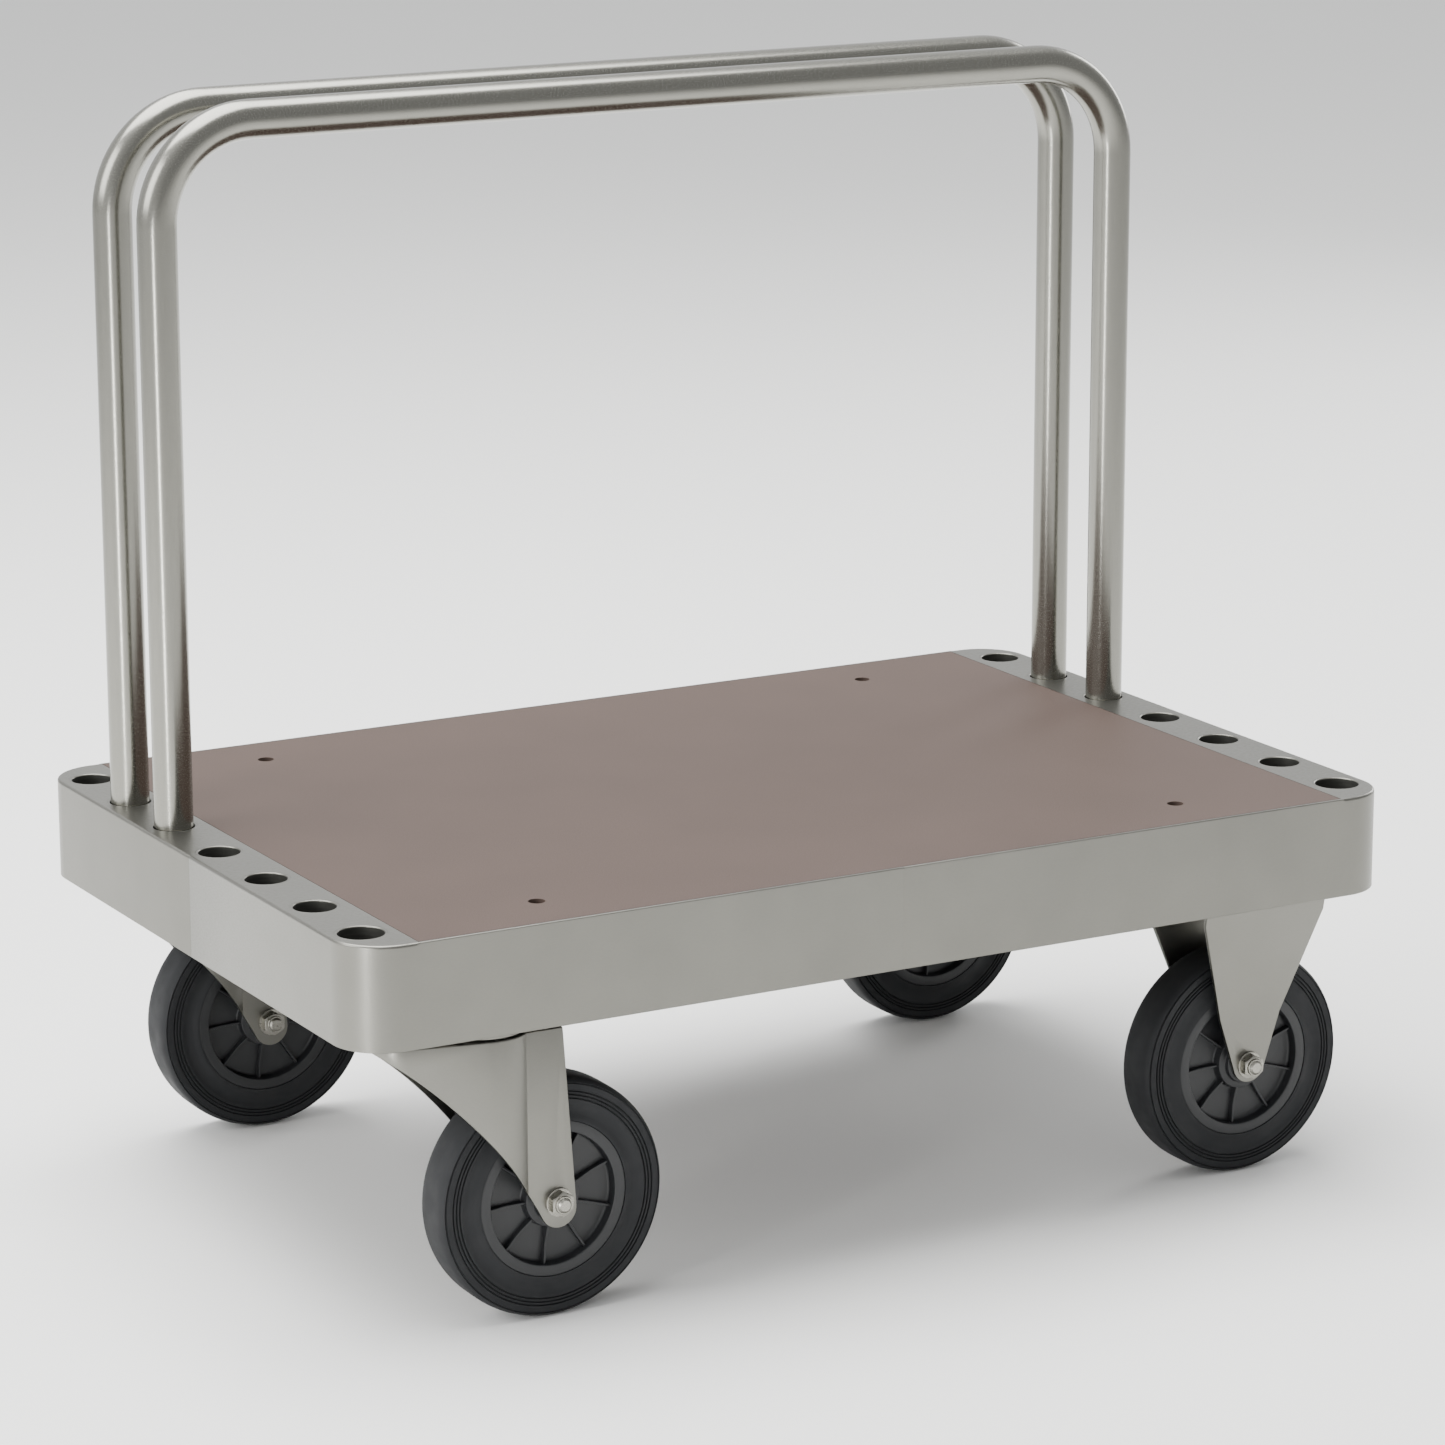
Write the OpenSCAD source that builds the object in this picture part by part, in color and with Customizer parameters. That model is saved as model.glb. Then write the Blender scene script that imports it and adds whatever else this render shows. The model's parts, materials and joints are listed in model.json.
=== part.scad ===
// Flatbed platform truck: a sheet-metal deck frame with an inlaid board, rows of
// sockets at both ends for lift-out tube hoops, two swivel and two fixed casters.
// +X runs along the deck to the fixed casters, +Z is up, and the origin is on the
// floor below the middle of the deck. All sizes are in millimetres.

/* [Deck] */
// Length of the deck frame
deck_l = 1000; // [900:1:1400]
// Width of the deck frame
deck_w = 650; // [600:1:900]
// Height of the folded rim
rim_h = 88; // [70:1:120]
// Sheet thickness of the rim and the end flanges
rim_t = 2.5; // [1.5:0.1:4]
// Outer radius of the rim's upright corners
corner_r = 45; // [30:1:50]
// Width of the perforated flange at each end
flange_w = 56; // [52:1:70]
// Thickness of the inlaid board
board_t = 12; // [9:0.5:18]
// Gap all round the inlaid board
board_gap = 0.6; // [0.3:0.1:2]

/* [Under-frame] */
// Height of the top of the caster plates above the floor
caster_h = 262; // [240:1:300]
// Height of the bearers' underside above the rim's lower edge
bearer_rise = 8; // [-4:0.5:12]
// Width of a bearer channel outside its two legs
bearer_w = 120; // [116:1:140]
// Sheet thickness of the bearers and ledges
bearer_t = 3; // [2:0.1:4]
// Distance of each bearer's centre from the middle of the deck
bearer_x = 377.5; // [340:0.5:378]
// Width of the lip that carries the board screws
lip_w = 27; // [22:1:40]
// Width of the middle bearer
mid_w = 60; // [40:1:90]
// Width of the ledges along the rim
ledge_w = 20; // [15:1:30]

/* [Hoops and sockets] */
// Outer diameter of the hoop tube
tube_d = 33.7; // [25:0.1:33.8]
// Wall of the hoop tube
tube_t = 2.6; // [1.5:0.1:4]
// Height of the hoops above the deck
hoop_h = 614; // [300:1:900]
// Bend radius of a hoop at the tube's centre line
hoop_bend = 85; // [60:1:150]
// Inner diameter of a socket
socket_d = 35.4; // [34:0.1:36]
// Inner diameter of the wide socket at the two front corners
wide_socket_d = 38.1; // [34:0.1:38.5]
// Wall of a socket
socket_t = 2.3; // [1.5:0.1:2.5]
// Depth of a socket below the deck
socket_depth = 75; // [50:1:80]
// Distance between neighbouring sockets
socket_pitch = 95; // [70:0.5:110]
// Distance of the corner sockets from the deck's side edge
corner_inset = 48; // [44:1:60]
// Distance of the socket row from the deck's end edge
socket_inset = 27.8; // [26:0.1:34]
// Thickness of the socket floor
floor_t = 3; // [2:0.5:6]

/* [Wheels] */
// Wheel diameter
wheel_d = 203; // [160:1:204]
// Width of the tyre
tyre_w = 46; // [40:1:46]
// Radius at which the tyre meets the wheel centre
seat_r = 66; // [60:0.5:75]
// Radial thickness of the wheel centre's rim
rim_ring = 9.4; // [6:0.1:12]
// Number of ribs on each face of the wheel centre
rib_n = 9; // [5:1:12]
// Length of the hub
hub_l = 52; // [50:0.5:54]
// Outer radius of the hub
hub_r = 17; // [14:0.5:22]
// Wall of the bush between hub and axle
bush_t = 4; // [2:0.5:6]

/* [Casters] */
// Distance of the swivel pins from the middle of the deck
swivel_x = 372; // [340:1:372]
// Distance of the swivel pins from the deck's centre line
swivel_y = 282; // [230:1:282]
// Offset of the axle behind the swivel pin
trail = 55; // [45:1:65]
// Distance of the fixed casters from the deck's centre line
fixed_y = 258; // [200:1:268]
// Sheet thickness of the forks
fork_t = 3.5; // [2.5:0.1:4]
// Inner width of a fork at the axle
fork_gap = 54; // [53:0.5:58]
// Radius of the fork end round the axle
fork_end_r = 16; // [13:0.5:20]
// Distance of a swivel fork's rounded end below the axle
fork_end_drop = 6; // [0:0.5:8]
// Thickness of the caster plates
plate_t = 4; // [3:0.5:6]
// Length of a swivel plate
swivel_plate_l = 110; // [104:1:130]
// Width of a swivel plate
swivel_plate_w = 76; // [74:1:80]
// Length of a fixed caster's plate
fixed_plate_l = 132; // [122:1:150]
// Width of a fixed caster's plate
fixed_plate_w = 104; // [96:1:116]
// Gap between a swivel plate and its fork crown
race_gap = 8.5; // [8:0.1:12]
// Width of the fork crown round the swivel pin
crown_w = 82; // [72:1:84]
// Reach of the fork crown in front of the swivel pin
crown_nose = 95; // [70:1:98]

/* [Fasteners] */
// Axle and swivel pin diameter
axle_d = 12; // [10:1:12]
// Caster bolt diameter
bolt_d = 10; // [8:1:10]
// Bolt spacing on a swivel plate along the deck
swivel_bolt_x = 84; // [80:1:90]
// Bolt spacing on a swivel plate across the deck
swivel_bolt_y = 56; // [52:1:56]
// Bolt spacing on a fixed plate along the deck
fixed_bolt_x = 96; // [80:1:96]
// Bolt spacing on a fixed plate across the deck
fixed_bolt_y = 76; // [66:1:76]
// Spacing of the board screws along the deck
board_screw_x = 620; // [600:1:624]
// Spacing of the board screws across the deck
board_screw_y = 530; // [400:1:560]
// Diameter of the recess over a board screw
recess_d = 14.2; // [14:0.1:18]
// Board screw diameter
screw_d = 8; // [6:1:8]

/* [Hidden] */
$fn = 64;
sides = [-1, 1];

// Clearances
seat_gap = 0.3;      // rest gap under a hoop foot and beside a seated piece
running = 0.06;      // radial clearance of a turning bore on its pin
bolt_clear = 0.5;    // radial clearance of a bolt in its hole

// Heights
axle_z = wheel_d / 2;
rim_z = caster_h - bearer_rise;
deck_h = rim_z + rim_h;
board_z = deck_h - board_t;
plate_z = caster_h - plate_t;
crown_z = plate_z - race_gap;
socket_z = deck_h - socket_depth;

// Plan sizes
inner_l = deck_l - 2 * rim_t;
inner_w = deck_w - 2 * rim_t;
inner_r = corner_r - rim_t;
board_l = deck_l - 2 * flange_w;
socket_x = deck_l / 2 - socket_inset;
corner_y = deck_w / 2 - corner_inset;
socket_ys = concat(-corner_y, [for (i = [-2 : 2]) i * socket_pitch], corner_y);
hoop_ys = [socket_pitch, 2 * socket_pitch];
lip_x = bearer_x - bearer_w / 2;
ledge_l = 2 * (lip_x - lip_w - seat_gap);

// Caster sizes
fork_half = fork_gap / 2 + fork_t;
crown_t = 4;
crown_rear = trail + 5;
nose_r = crown_w / 2 - 15;
nose_x = crown_nose - nose_r;
nose_depth = 3;
fork_top_half = fixed_plate_w / 2;
fixed_top_half = 62;
fixed_edge_h = 22;
fork_knee = 45;
ball_d = race_gap - 0.6;
ball_ring_r = 31;
ball_n = 20;
shield_r = 39;
shield_t = 1.8;
shield_h = race_gap - 1.5;

// Fastener sizes
axle_r = axle_d / 2;
axle_af = 19;
axle_head_h = 7.5;
axle_nut_h = 9;
washer_t = 1.5;
washer_r = 12;
axle_end = 1.5;
bolt_r = bolt_d / 2;
bolt_af = 17;
bolt_head_h = 6.4;
bolt_nut_h = 8;
bolt_end = 3;
king_head_h = 7.5;
king_nut_h = 9;
king_washer_r = 22;
king_washer_t = 3;
king_gap = 0.3;
screw_r = screw_d / 2;
screw_head_d = 13;
screw_head_h = 4;
screw_recess = 8;
screw_nut_h = 6.5;
screw_af = 13;

STEEL = [0.64, 0.64, 0.61];
BRIGHT = [0.72, 0.72, 0.70];
BOARD = [0.50, 0.44, 0.41];
RUBBER = [0.23, 0.23, 0.24];
PLASTIC = [0.17, 0.17, 0.18];
ZINC = [0.75, 0.74, 0.68];

// ---------- shared shapes ----------

// A box with its middle on the Z axis and its foot at z
module block(l, w, h, z = 0) {
    translate([-l / 2, -w / 2, z]) cube([l, w, h]);
}

// A box with rounded upright edges
module pill(l, w, h, r, z = 0) {
    union() {
        block(l - 2 * r, w, h, z);
        block(l, w - 2 * r, h, z);
        for (x = sides, y = sides)
            translate([x * (l / 2 - r), y * (w / 2 - r), z]) cylinder(r = r, h = h);
    }
}

// A hexagon prism, measured across its flats, with two flats facing X
module hex(af, h) {
    rotate([0, 0, 30]) cylinder(d = af / cos(30), h = h, $fn = 6);
}

// Puts its children at the four corners of a rectangle
module corners(x, y) {
    for (i = sides, j = sides) translate([i * x / 2, j * y / 2, 0]) children();
}

// Turns a shape drawn along Z so that it lies along -Y
module along_y() {
    rotate([90, 0, 0]) children();
}

// Places of the casters; s is -1 at the front and 1 at the rear
module at_swivel(s) {
    translate([-swivel_x, s * swivel_y, 0]) children();
}
module at_fixed(s) {
    translate([bearer_x, s * fixed_y, 0]) children();
}

// The inside of the rim as a solid, used to trim what fits in it
module rim_inside(z, h) {
    pill(inner_l, inner_w, h, inner_r, z);
}

// ---------- deck ----------

function socket_bore(y) = y == -corner_y ? wide_socket_d : socket_d;

module deck_frame() {
    color(STEEL) difference() {
        pill(deck_l, deck_w, rim_h, corner_r, rim_z);
        rim_inside(rim_z - 1, rim_h - rim_t + 1);
        block(board_l, inner_w, rim_h, rim_z + 1);
        for (s = sides, y = socket_ys)
            translate([s * socket_x, y, rim_z])
                cylinder(d = socket_bore(y) + 2 * socket_t + 2 * seat_gap, h = rim_h + 1);
    }
}

module deck_board() {
    color(BOARD) difference() {
        block(board_l - 2 * board_gap, inner_w - 2 * board_gap, board_t, board_z);
        corners(board_screw_x, board_screw_y) {
            translate([0, 0, board_z - 1]) cylinder(r = screw_r + bolt_clear, h = board_t + 2);
            translate([0, 0, deck_h - screw_recess]) cylinder(d = recess_d, h = board_t);
        }
    }
}

// Channel open upwards, with its legs up to the board and a lip on the inner leg
module bearer(s, hole_x, hole_y, shift, pin_hole) {
    top = board_z - caster_h;
    width = inner_w - 2 * seat_gap;
    color(STEEL) difference() {
        translate([s * bearer_x, 0, 0]) union() {
            block(bearer_w, width, bearer_t, caster_h);
            for (i = sides)
                translate([i * (bearer_w - bearer_t) / 2, 0, 0])
                    block(bearer_t, width, top, caster_h);
            translate([-s * (bearer_w + lip_w - bearer_t) / 2, 0, 0])
                block(lip_w + bearer_t, width, bearer_t, board_z - bearer_t);
        }
        for (j = sides) translate([s * bearer_x + shift, j * hole_y[0], 0]) {
            corners(hole_x, hole_y[1])
                translate([0, 0, caster_h - 1]) cylinder(r = bolt_r + bolt_clear, h = bearer_t + 2);
            if (pin_hole) translate([0, 0, caster_h - 1]) cylinder(r = washer_r + 2, h = bearer_t + 2);
        }
        corners(board_screw_x, board_screw_y)
            translate([0, 0, board_z - bearer_t - 1]) cylinder(r = screw_r + bolt_clear, h = bearer_t + 2);
    }
}

module bearer_left() {
    bearer(-1, swivel_bolt_x, [swivel_y, swivel_bolt_y], bearer_x - swivel_x, true);
}
module bearer_right() {
    bearer(1, fixed_bolt_x, [fixed_y, fixed_bolt_y], 0, false);
}

// Narrow channel under the middle of the board
module bearer_middle() {
    width = inner_w - 2 * ledge_w - 2 * seat_gap;
    height = board_z - rim_z - ledge_w;
    color(STEEL) difference() {
        block(mid_w, width, height, board_z - height);
        block(mid_w - 2 * bearer_t, width + 2, height, board_z - height - bearer_t);
    }
}

// Angle strip inside the rim that carries the board's long edge
module ledge(s) {
    color(STEEL) translate([0, s * (inner_w - ledge_w) / 2, 0]) union() {
        block(ledge_l, ledge_w, bearer_t, board_z - bearer_t);
        translate([0, s * (ledge_w - bearer_t) / 2, 0])
            block(ledge_l, bearer_t, ledge_w, board_z - ledge_w);
    }
}
module ledge_front() ledge(-1);
module ledge_rear() ledge(1);

// Seven socket tubes in a row, flush with the end flange
module sockets(s) {
    color(STEEL) for (y = socket_ys) translate([s * socket_x, y, socket_z]) difference() {
        cylinder(d = socket_bore(y) + 2 * socket_t, h = socket_depth);
        translate([0, 0, -1]) cylinder(d = socket_bore(y), h = socket_depth + 2);
    }
}
module sockets_left() sockets(-1);
module sockets_right() sockets(1);

// Strip below the sockets that the hoops stand on, with a drain under each socket
module socket_floor(s) {
    reach = wide_socket_d / 2 + socket_t;
    drain_r = 6;
    color(STEEL) difference() {
        intersection() {
            rim_inside(socket_z - floor_t, floor_t);
            translate([s * (socket_x + deck_l / 2 - reach) / 2, 0, 0])
                block(deck_l / 2 - socket_x + reach, inner_w - 4, 2 * floor_t, socket_z - 1.5 * floor_t);
        }
        for (y = socket_ys) translate([s * socket_x, y, socket_z - 2 * floor_t])
            cylinder(r = drain_r, h = 3 * floor_t);
    }
}
module socket_floor_left() socket_floor(-1);
module socket_floor_right() socket_floor(1);

module board_screws() {
    color(ZINC) corners(board_screw_x, board_screw_y) {
        translate([0, 0, deck_h - screw_recess]) difference() {
            cylinder(d = screw_head_d, h = screw_head_h);
            translate([0, 0, screw_head_h - 2.5]) hex(5, 3);
        }
        tip = board_z - bearer_t - screw_nut_h - 2;
        translate([0, 0, tip]) cylinder(r = screw_r, h = deck_h - screw_recess - tip + 0.01);
    }
}

module board_nuts() {
    color(ZINC) corners(board_screw_x, board_screw_y)
        translate([0, 0, board_z - bearer_t - screw_nut_h]) difference() {
            hex(screw_af, screw_nut_h);
            translate([0, 0, -1]) cylinder(r = screw_r + running, h = screw_nut_h + 2);
        }
}

// ---------- hoops ----------

// The hoop's centre line swept with radius r; ends reach foot
module hoop_sweep(r, foot) {
    top = deck_h + hoop_h - tube_d / 2;
    run = 2 * (socket_x - hoop_bend);
    for (s = sides) {
        translate([s * socket_x, 0, foot]) cylinder(r = r, h = top - hoop_bend - foot);
        translate([s * (socket_x - hoop_bend), 0, top - hoop_bend])
            rotate([90, s > 0 ? 0 : -90, 0])
                rotate_extrude(angle = 90) translate([hoop_bend, 0]) circle(r = r);
    }
    translate([-run / 2, 0, top]) rotate([0, 90, 0]) cylinder(r = r, h = run);
}

module hoop(y) {
    color(BRIGHT) translate([0, y, 0]) difference() {
        hoop_sweep(tube_d / 2, socket_z + seat_gap);
        hoop_sweep(tube_d / 2 - tube_t, socket_z);
    }
}
module hoop_front() hoop(hoop_ys[0]);
module hoop_rear() hoop(hoop_ys[1]);

// ---------- caster fixings ----------

module bolt_places() {
    for (s = sides) {
        at_swivel(s) corners(swivel_bolt_x, swivel_bolt_y) children();
        at_fixed(s) corners(fixed_bolt_x, fixed_bolt_y) children();
    }
}

module caster_bolts() {
    tip = caster_h + bearer_t + bolt_nut_h + bolt_end;
    color(ZINC) bolt_places() {
        translate([0, 0, plate_z - bolt_head_h]) hex(bolt_af, bolt_head_h);
        translate([0, 0, plate_z - 0.01]) cylinder(r = bolt_r, h = tip - plate_z);
    }
}

module caster_nuts() {
    color(ZINC) bolt_places() translate([0, 0, caster_h + bearer_t]) difference() {
        hex(bolt_af, bolt_nut_h);
        translate([0, 0, -1]) cylinder(r = bolt_r + running, h = bolt_nut_h + 2);
    }
}

// ---------- swivel casters ----------

// Unit vector at angle a
function turn(a) = [cos(a), sin(a)];

module swivel_plate(s) {
    color(ZINC) at_swivel(s) difference() {
        union() {
            pill(swivel_plate_l, swivel_plate_w, plate_t, 8, plate_z);
            translate([0, 0, plate_z - shield_h]) cylinder(r = shield_r, h = shield_h + 0.01);
        }
        translate([0, 0, plate_z - shield_h - 1]) cylinder(r = shield_r - shield_t, h = shield_h + 1);
        translate([0, 0, plate_z - 1]) cylinder(r = axle_r + running, h = plate_t + 2);
        corners(swivel_bolt_x, swivel_bolt_y)
            translate([0, 0, plate_z - 1]) cylinder(r = bolt_r + bolt_clear, h = plate_t + 2);
    }
}

module swivel_pin(s) {
    tip = crown_z - crown_t - king_gap - king_washer_t - king_nut_h - 2;
    color(ZINC) at_swivel(s) {
        translate([0, 0, caster_h]) hex(axle_af, king_head_h);
        translate([0, 0, tip]) cylinder(r = axle_r, h = caster_h - tip + 0.01);
    }
}

module swivel_washer(s) {
    color(ZINC) at_swivel(s)
        translate([0, 0, crown_z - crown_t - king_gap - king_washer_t]) difference() {
            cylinder(r = king_washer_r, h = king_washer_t);
            translate([0, 0, -1]) cylinder(r = axle_r + running, h = king_washer_t + 2);
        }
}

module swivel_pin_nut(s) {
    z = crown_z - crown_t - king_gap - king_washer_t - king_nut_h;
    color(ZINC) at_swivel(s) translate([0, 0, z]) difference() {
        hex(axle_af, king_nut_h);
        translate([0, 0, -1]) cylinder(r = axle_r + running, h = king_nut_h + 2);
    }
}

module swivel_balls(s) {
    color(BRIGHT) at_swivel(s) for (i = [0 : ball_n - 1])
        rotate([0, 0, i * 360 / ball_n])
            translate([ball_ring_r, 0, crown_z + race_gap / 2]) sphere(d = ball_d, $fn = 24);
}

// Half of the plan outline of the crown: round the nose, then round the swivel pin
function crown_outline(r, n, lean, m) = [
    for (i = [0 : m]) [-nose_x, 0] + n * turn(180 - i * lean / m),
    for (i = [0 : m]) r * turn(180 - lean - i * (180 - lean - asin((fork_half - crown_w / 2 + r) / r)) / m)
];

// Plan of the crown and the legs, smaller by inset; open at the back
module crown_plan(inset, rear) {
    r = crown_w / 2 - inset;
    n = nose_r - inset;
    half = concat(
        crown_outline(r, n, acos((r - n) / nose_x), 14),
        [[rear, fork_half - inset]]
    );
    m = len(half) - 1;
    polygon(concat(half, [for (i = [m : -1 : 1]) [half[i][0], -half[i][1]]]));
}

// Point at t on the cubic curve a, b, c, d
function cubic(a, b, c, d, t) =
    pow(1 - t, 3) * a + 3 * t * pow(1 - t, 2) * b + 3 * t * t * (1 - t) * c + t * t * t * d;

// Angle at which the right-hand tangent from point p touches a circle of radius r at c
function touch(p, c, r) =
    atan2(p[1] - c[1], p[0] - c[0]) - acos(r / norm(p - c));

// Side view of the swivel fork, with the sweep from the nose down to the axle
module fork_side() {
    steps = 16;
    low = [trail, axle_z - fork_end_drop];
    back = [crown_rear, crown_z];
    heel = touch(back, low, fork_end_r);
    from = [-crown_nose - 6, crown_z - nose_depth];
    to = low + fork_end_r * turn(-150);
    d = to - from;
    b = from + [0.44 * d[0], 0.26 * d[1]];
    c = from + [0.825 * d[0], 0.685 * d[1]];
    polygon(concat(
        [[from[0], crown_z], back],
        [for (i = [0 : steps]) low + fork_end_r * turn(heel - i * (heel + 150) / steps)],
        [for (i = [steps - 1 : -1 : 0]) cubic(from, b, c, to, i / steps)]
    ));
}

module swivel_fork(s) {
    color(STEEL) at_swivel(s) difference() {
        intersection() {
            linear_extrude(height = crown_z) crown_plan(0, trail + 2 * fork_end_r);
            translate([0, crown_w, 0]) along_y() linear_extrude(height = 2 * crown_w) fork_side();
        }
        translate([0, 0, -1])
            linear_extrude(height = crown_z - crown_t + 1) crown_plan(fork_t, 2 * trail);
        cylinder(r = axle_r + running, h = caster_h);
        translate([trail, crown_w, axle_z]) along_y() cylinder(r = axle_r + running, h = 2 * crown_w);
    }
}

// ---------- fixed casters ----------

// Front view of one leg: down from the plate's edge, in to the axle, then straight
module leg_front_view() {
    o = fork_top_half;
    knee_z = axle_z + fork_knee;
    low_z = axle_z - fork_end_r - 2;
    bend_z = plate_z - 5;
    polygon([
        [o, caster_h], [o, bend_z], [fork_half, knee_z], [fork_half, low_z],
        [fork_half - fork_t, low_z], [fork_half - fork_t, knee_z],
        [o - fork_t, bend_z], [o - fork_t, caster_h]
    ]);
}

// Side view of a fixed leg: square at the plate, then a taper to the axle
module leg_side_view() {
    edge_z = caster_h - fixed_edge_h;
    slope = atan((fixed_top_half - fork_end_r) / (edge_z - axle_z));
    lean = slope / 1.05;
    x = fork_end_r * cos(lean);
    z = axle_z - fork_end_r * sin(lean);
    polygon([
        [-fixed_top_half, caster_h], [fixed_top_half, caster_h], [fixed_top_half, edge_z],
        [x, z], [-x, z], [-fixed_top_half, edge_z]
    ]);
    translate([0, axle_z]) circle(r = fork_end_r);
}

module fixed_fork(s) {
    color(STEEL) at_fixed(s) difference() {
        union() {
            pill(fixed_plate_l, fixed_plate_w, plate_t, 8, plate_z);
            intersection() {
                for (m = [0, 1]) mirror([0, m, 0])
                    translate([-fixed_plate_l / 2, 0, 0]) rotate([90, 0, 90])
                        linear_extrude(height = fixed_plate_l) leg_front_view();
                translate([0, fixed_plate_w, 0]) along_y()
                    linear_extrude(height = 2 * fixed_plate_w) leg_side_view();
            }
        }
        corners(fixed_bolt_x, fixed_bolt_y)
            translate([0, 0, plate_z - 1]) cylinder(r = bolt_r + bolt_clear, h = plate_t + 2);
        translate([0, fixed_plate_w, axle_z]) along_y()
            cylinder(r = axle_r + running, h = 2 * fixed_plate_w);
    }
}

// ---------- wheels, drawn round the Y axis at the axle ----------

module tyre() {
    r = wheel_d / 2;
    h = tyre_w / 2;
    half = [
        [seat_r + 0.15, h - 1.5], [seat_r + 6, h - 2.6], [r - 21, h - 3.2], [r - 19.5, h - 2.4],
        [r - 5, h - 2.4], [r - 2, h - 4.5], [r - 0.7, h - 9], [r, h - 16]
    ];
    last = len(half) - 1;
    under = [for (i = [last : -1 : 0]) [half[i][0], -half[i][1]]];
    color(RUBBER) along_y() rotate_extrude($fn = 96) polygon(concat(half, under));
}

module wheel_centre() {
    ring_in = seat_r - rim_ring;
    ring_h = tyre_w - 4;
    web_t = 6;
    rib_t = 3;
    rib_h = tyre_w - 14;
    bore = axle_r + running + bush_t;
    color(PLASTIC) along_y() difference() {
        union() {
            difference() {
                translate([0, 0, -ring_h / 2]) cylinder(r = seat_r, h = ring_h, $fn = 96);
                translate([0, 0, -ring_h]) cylinder(r = ring_in, h = 2 * ring_h, $fn = 96);
            }
            translate([0, 0, -web_t / 2]) cylinder(r = ring_in + 1, h = web_t, $fn = 96);
            translate([0, 0, -hub_l / 2]) cylinder(r = hub_r, h = hub_l);
            for (i = [0 : rib_n - 1]) rotate([0, 0, 17 + i * 360 / rib_n])
                translate([hub_r - 1, -rib_t / 2, -rib_h / 2])
                    cube([ring_in + 1.5 - hub_r, rib_t, rib_h]);
        }
        translate([0, 0, -hub_l]) cylinder(r = bore, h = 2 * hub_l);
    }
}

module bush() {
    outer = axle_r + running + bush_t - 0.02;
    color(ZINC) along_y() difference() {
        translate([0, 0, -hub_l / 2]) cylinder(r = outer, h = hub_l);
        translate([0, 0, -hub_l]) cylinder(r = axle_r + running, h = 2 * hub_l);
    }
}

// Two distance washers between hub and fork legs
module spacers() {
    gap = 0.15;
    t = (fork_gap - hub_l) / 2 - 2 * gap;
    color(ZINC) for (s = sides)
        translate([0, s * (fork_gap / 2 - gap - t / 2) + t / 2, 0]) along_y() difference() {
            cylinder(r = washer_r - 1, h = t);
            translate([0, 0, -1]) cylinder(r = axle_r + running, h = t + 2);
        }
}

// Bolt with its head at the back and a washer under it, and its end at the front
module axle_bolt() {
    tip = fork_half + washer_t + axle_nut_h + axle_end;
    color(ZINC) along_y() {
        translate([0, 0, -fork_half - washer_t - 0.01]) cylinder(r = washer_r, h = washer_t);
        translate([0, 0, -fork_half - washer_t - axle_head_h]) hex(axle_af, axle_head_h);
        translate([0, 0, -fork_half - washer_t]) cylinder(r = axle_r, h = tip + fork_half + washer_t);
    }
}

// Lock nut and its washer on the front end of the axle
module axle_nut() {
    color(ZINC) along_y() translate([0, 0, fork_half]) difference() {
        union() {
            cylinder(r = washer_r, h = washer_t);
            translate([0, 0, washer_t - 0.01]) hex(axle_af, axle_nut_h);
        }
        translate([0, 0, -1]) cylinder(r = axle_r + running, h = axle_nut_h + washer_t + 2);
    }
}

module at_swivel_axle(s) {
    at_swivel(s) translate([trail, 0, axle_z]) children();
}
module at_fixed_axle(s) {
    at_fixed(s) translate([0, 0, axle_z]) children();
}

// ---------- assembly ----------

deck_frame();
deck_board();
bearer_left();
bearer_right();
bearer_middle();
ledge_front();
ledge_rear();
sockets_left();
sockets_right();
socket_floor_left();
socket_floor_right();
board_screws();
board_nuts();
hoop_front();
hoop_rear();
caster_bolts();
caster_nuts();
swivel_plate(-1);  // swivel_plate_front
swivel_pin(-1);  // swivel_pin_front
swivel_pin_nut(-1);  // swivel_pin_nut_front
swivel_washer(-1);  // swivel_washer_front
swivel_balls(-1);  // swivel_balls_front
swivel_fork(-1);  // swivel_fork_front
at_swivel_axle(-1) tyre();  // swivel_tyre_front
at_swivel_axle(-1) wheel_centre();  // swivel_centre_front
at_swivel_axle(-1) bush();  // swivel_bush_front
at_swivel_axle(-1) axle_bolt();  // swivel_axle_front
at_swivel_axle(-1) axle_nut();  // swivel_axle_nut_front
at_swivel_axle(-1) spacers();  // swivel_spacers_front
swivel_plate(1);  // swivel_plate_rear
swivel_pin(1);  // swivel_pin_rear
swivel_pin_nut(1);  // swivel_pin_nut_rear
swivel_washer(1);  // swivel_washer_rear
swivel_balls(1);  // swivel_balls_rear
swivel_fork(1);  // swivel_fork_rear
at_swivel_axle(1) tyre();  // swivel_tyre_rear
at_swivel_axle(1) wheel_centre();  // swivel_centre_rear
at_swivel_axle(1) bush();  // swivel_bush_rear
at_swivel_axle(1) axle_bolt();  // swivel_axle_rear
at_swivel_axle(1) axle_nut();  // swivel_axle_nut_rear
at_swivel_axle(1) spacers();  // swivel_spacers_rear
fixed_fork(-1);  // fixed_fork_front
at_fixed_axle(-1) tyre();  // fixed_tyre_front
at_fixed_axle(-1) wheel_centre();  // fixed_centre_front
at_fixed_axle(-1) bush();  // fixed_bush_front
at_fixed_axle(-1) axle_bolt();  // fixed_axle_front
at_fixed_axle(-1) axle_nut();  // fixed_axle_nut_front
at_fixed_axle(-1) spacers();  // fixed_spacers_front
fixed_fork(1);  // fixed_fork_rear
at_fixed_axle(1) tyre();  // fixed_tyre_rear
at_fixed_axle(1) wheel_centre();  // fixed_centre_rear
at_fixed_axle(1) bush();  // fixed_bush_rear
at_fixed_axle(1) axle_bolt();  // fixed_axle_rear
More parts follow.
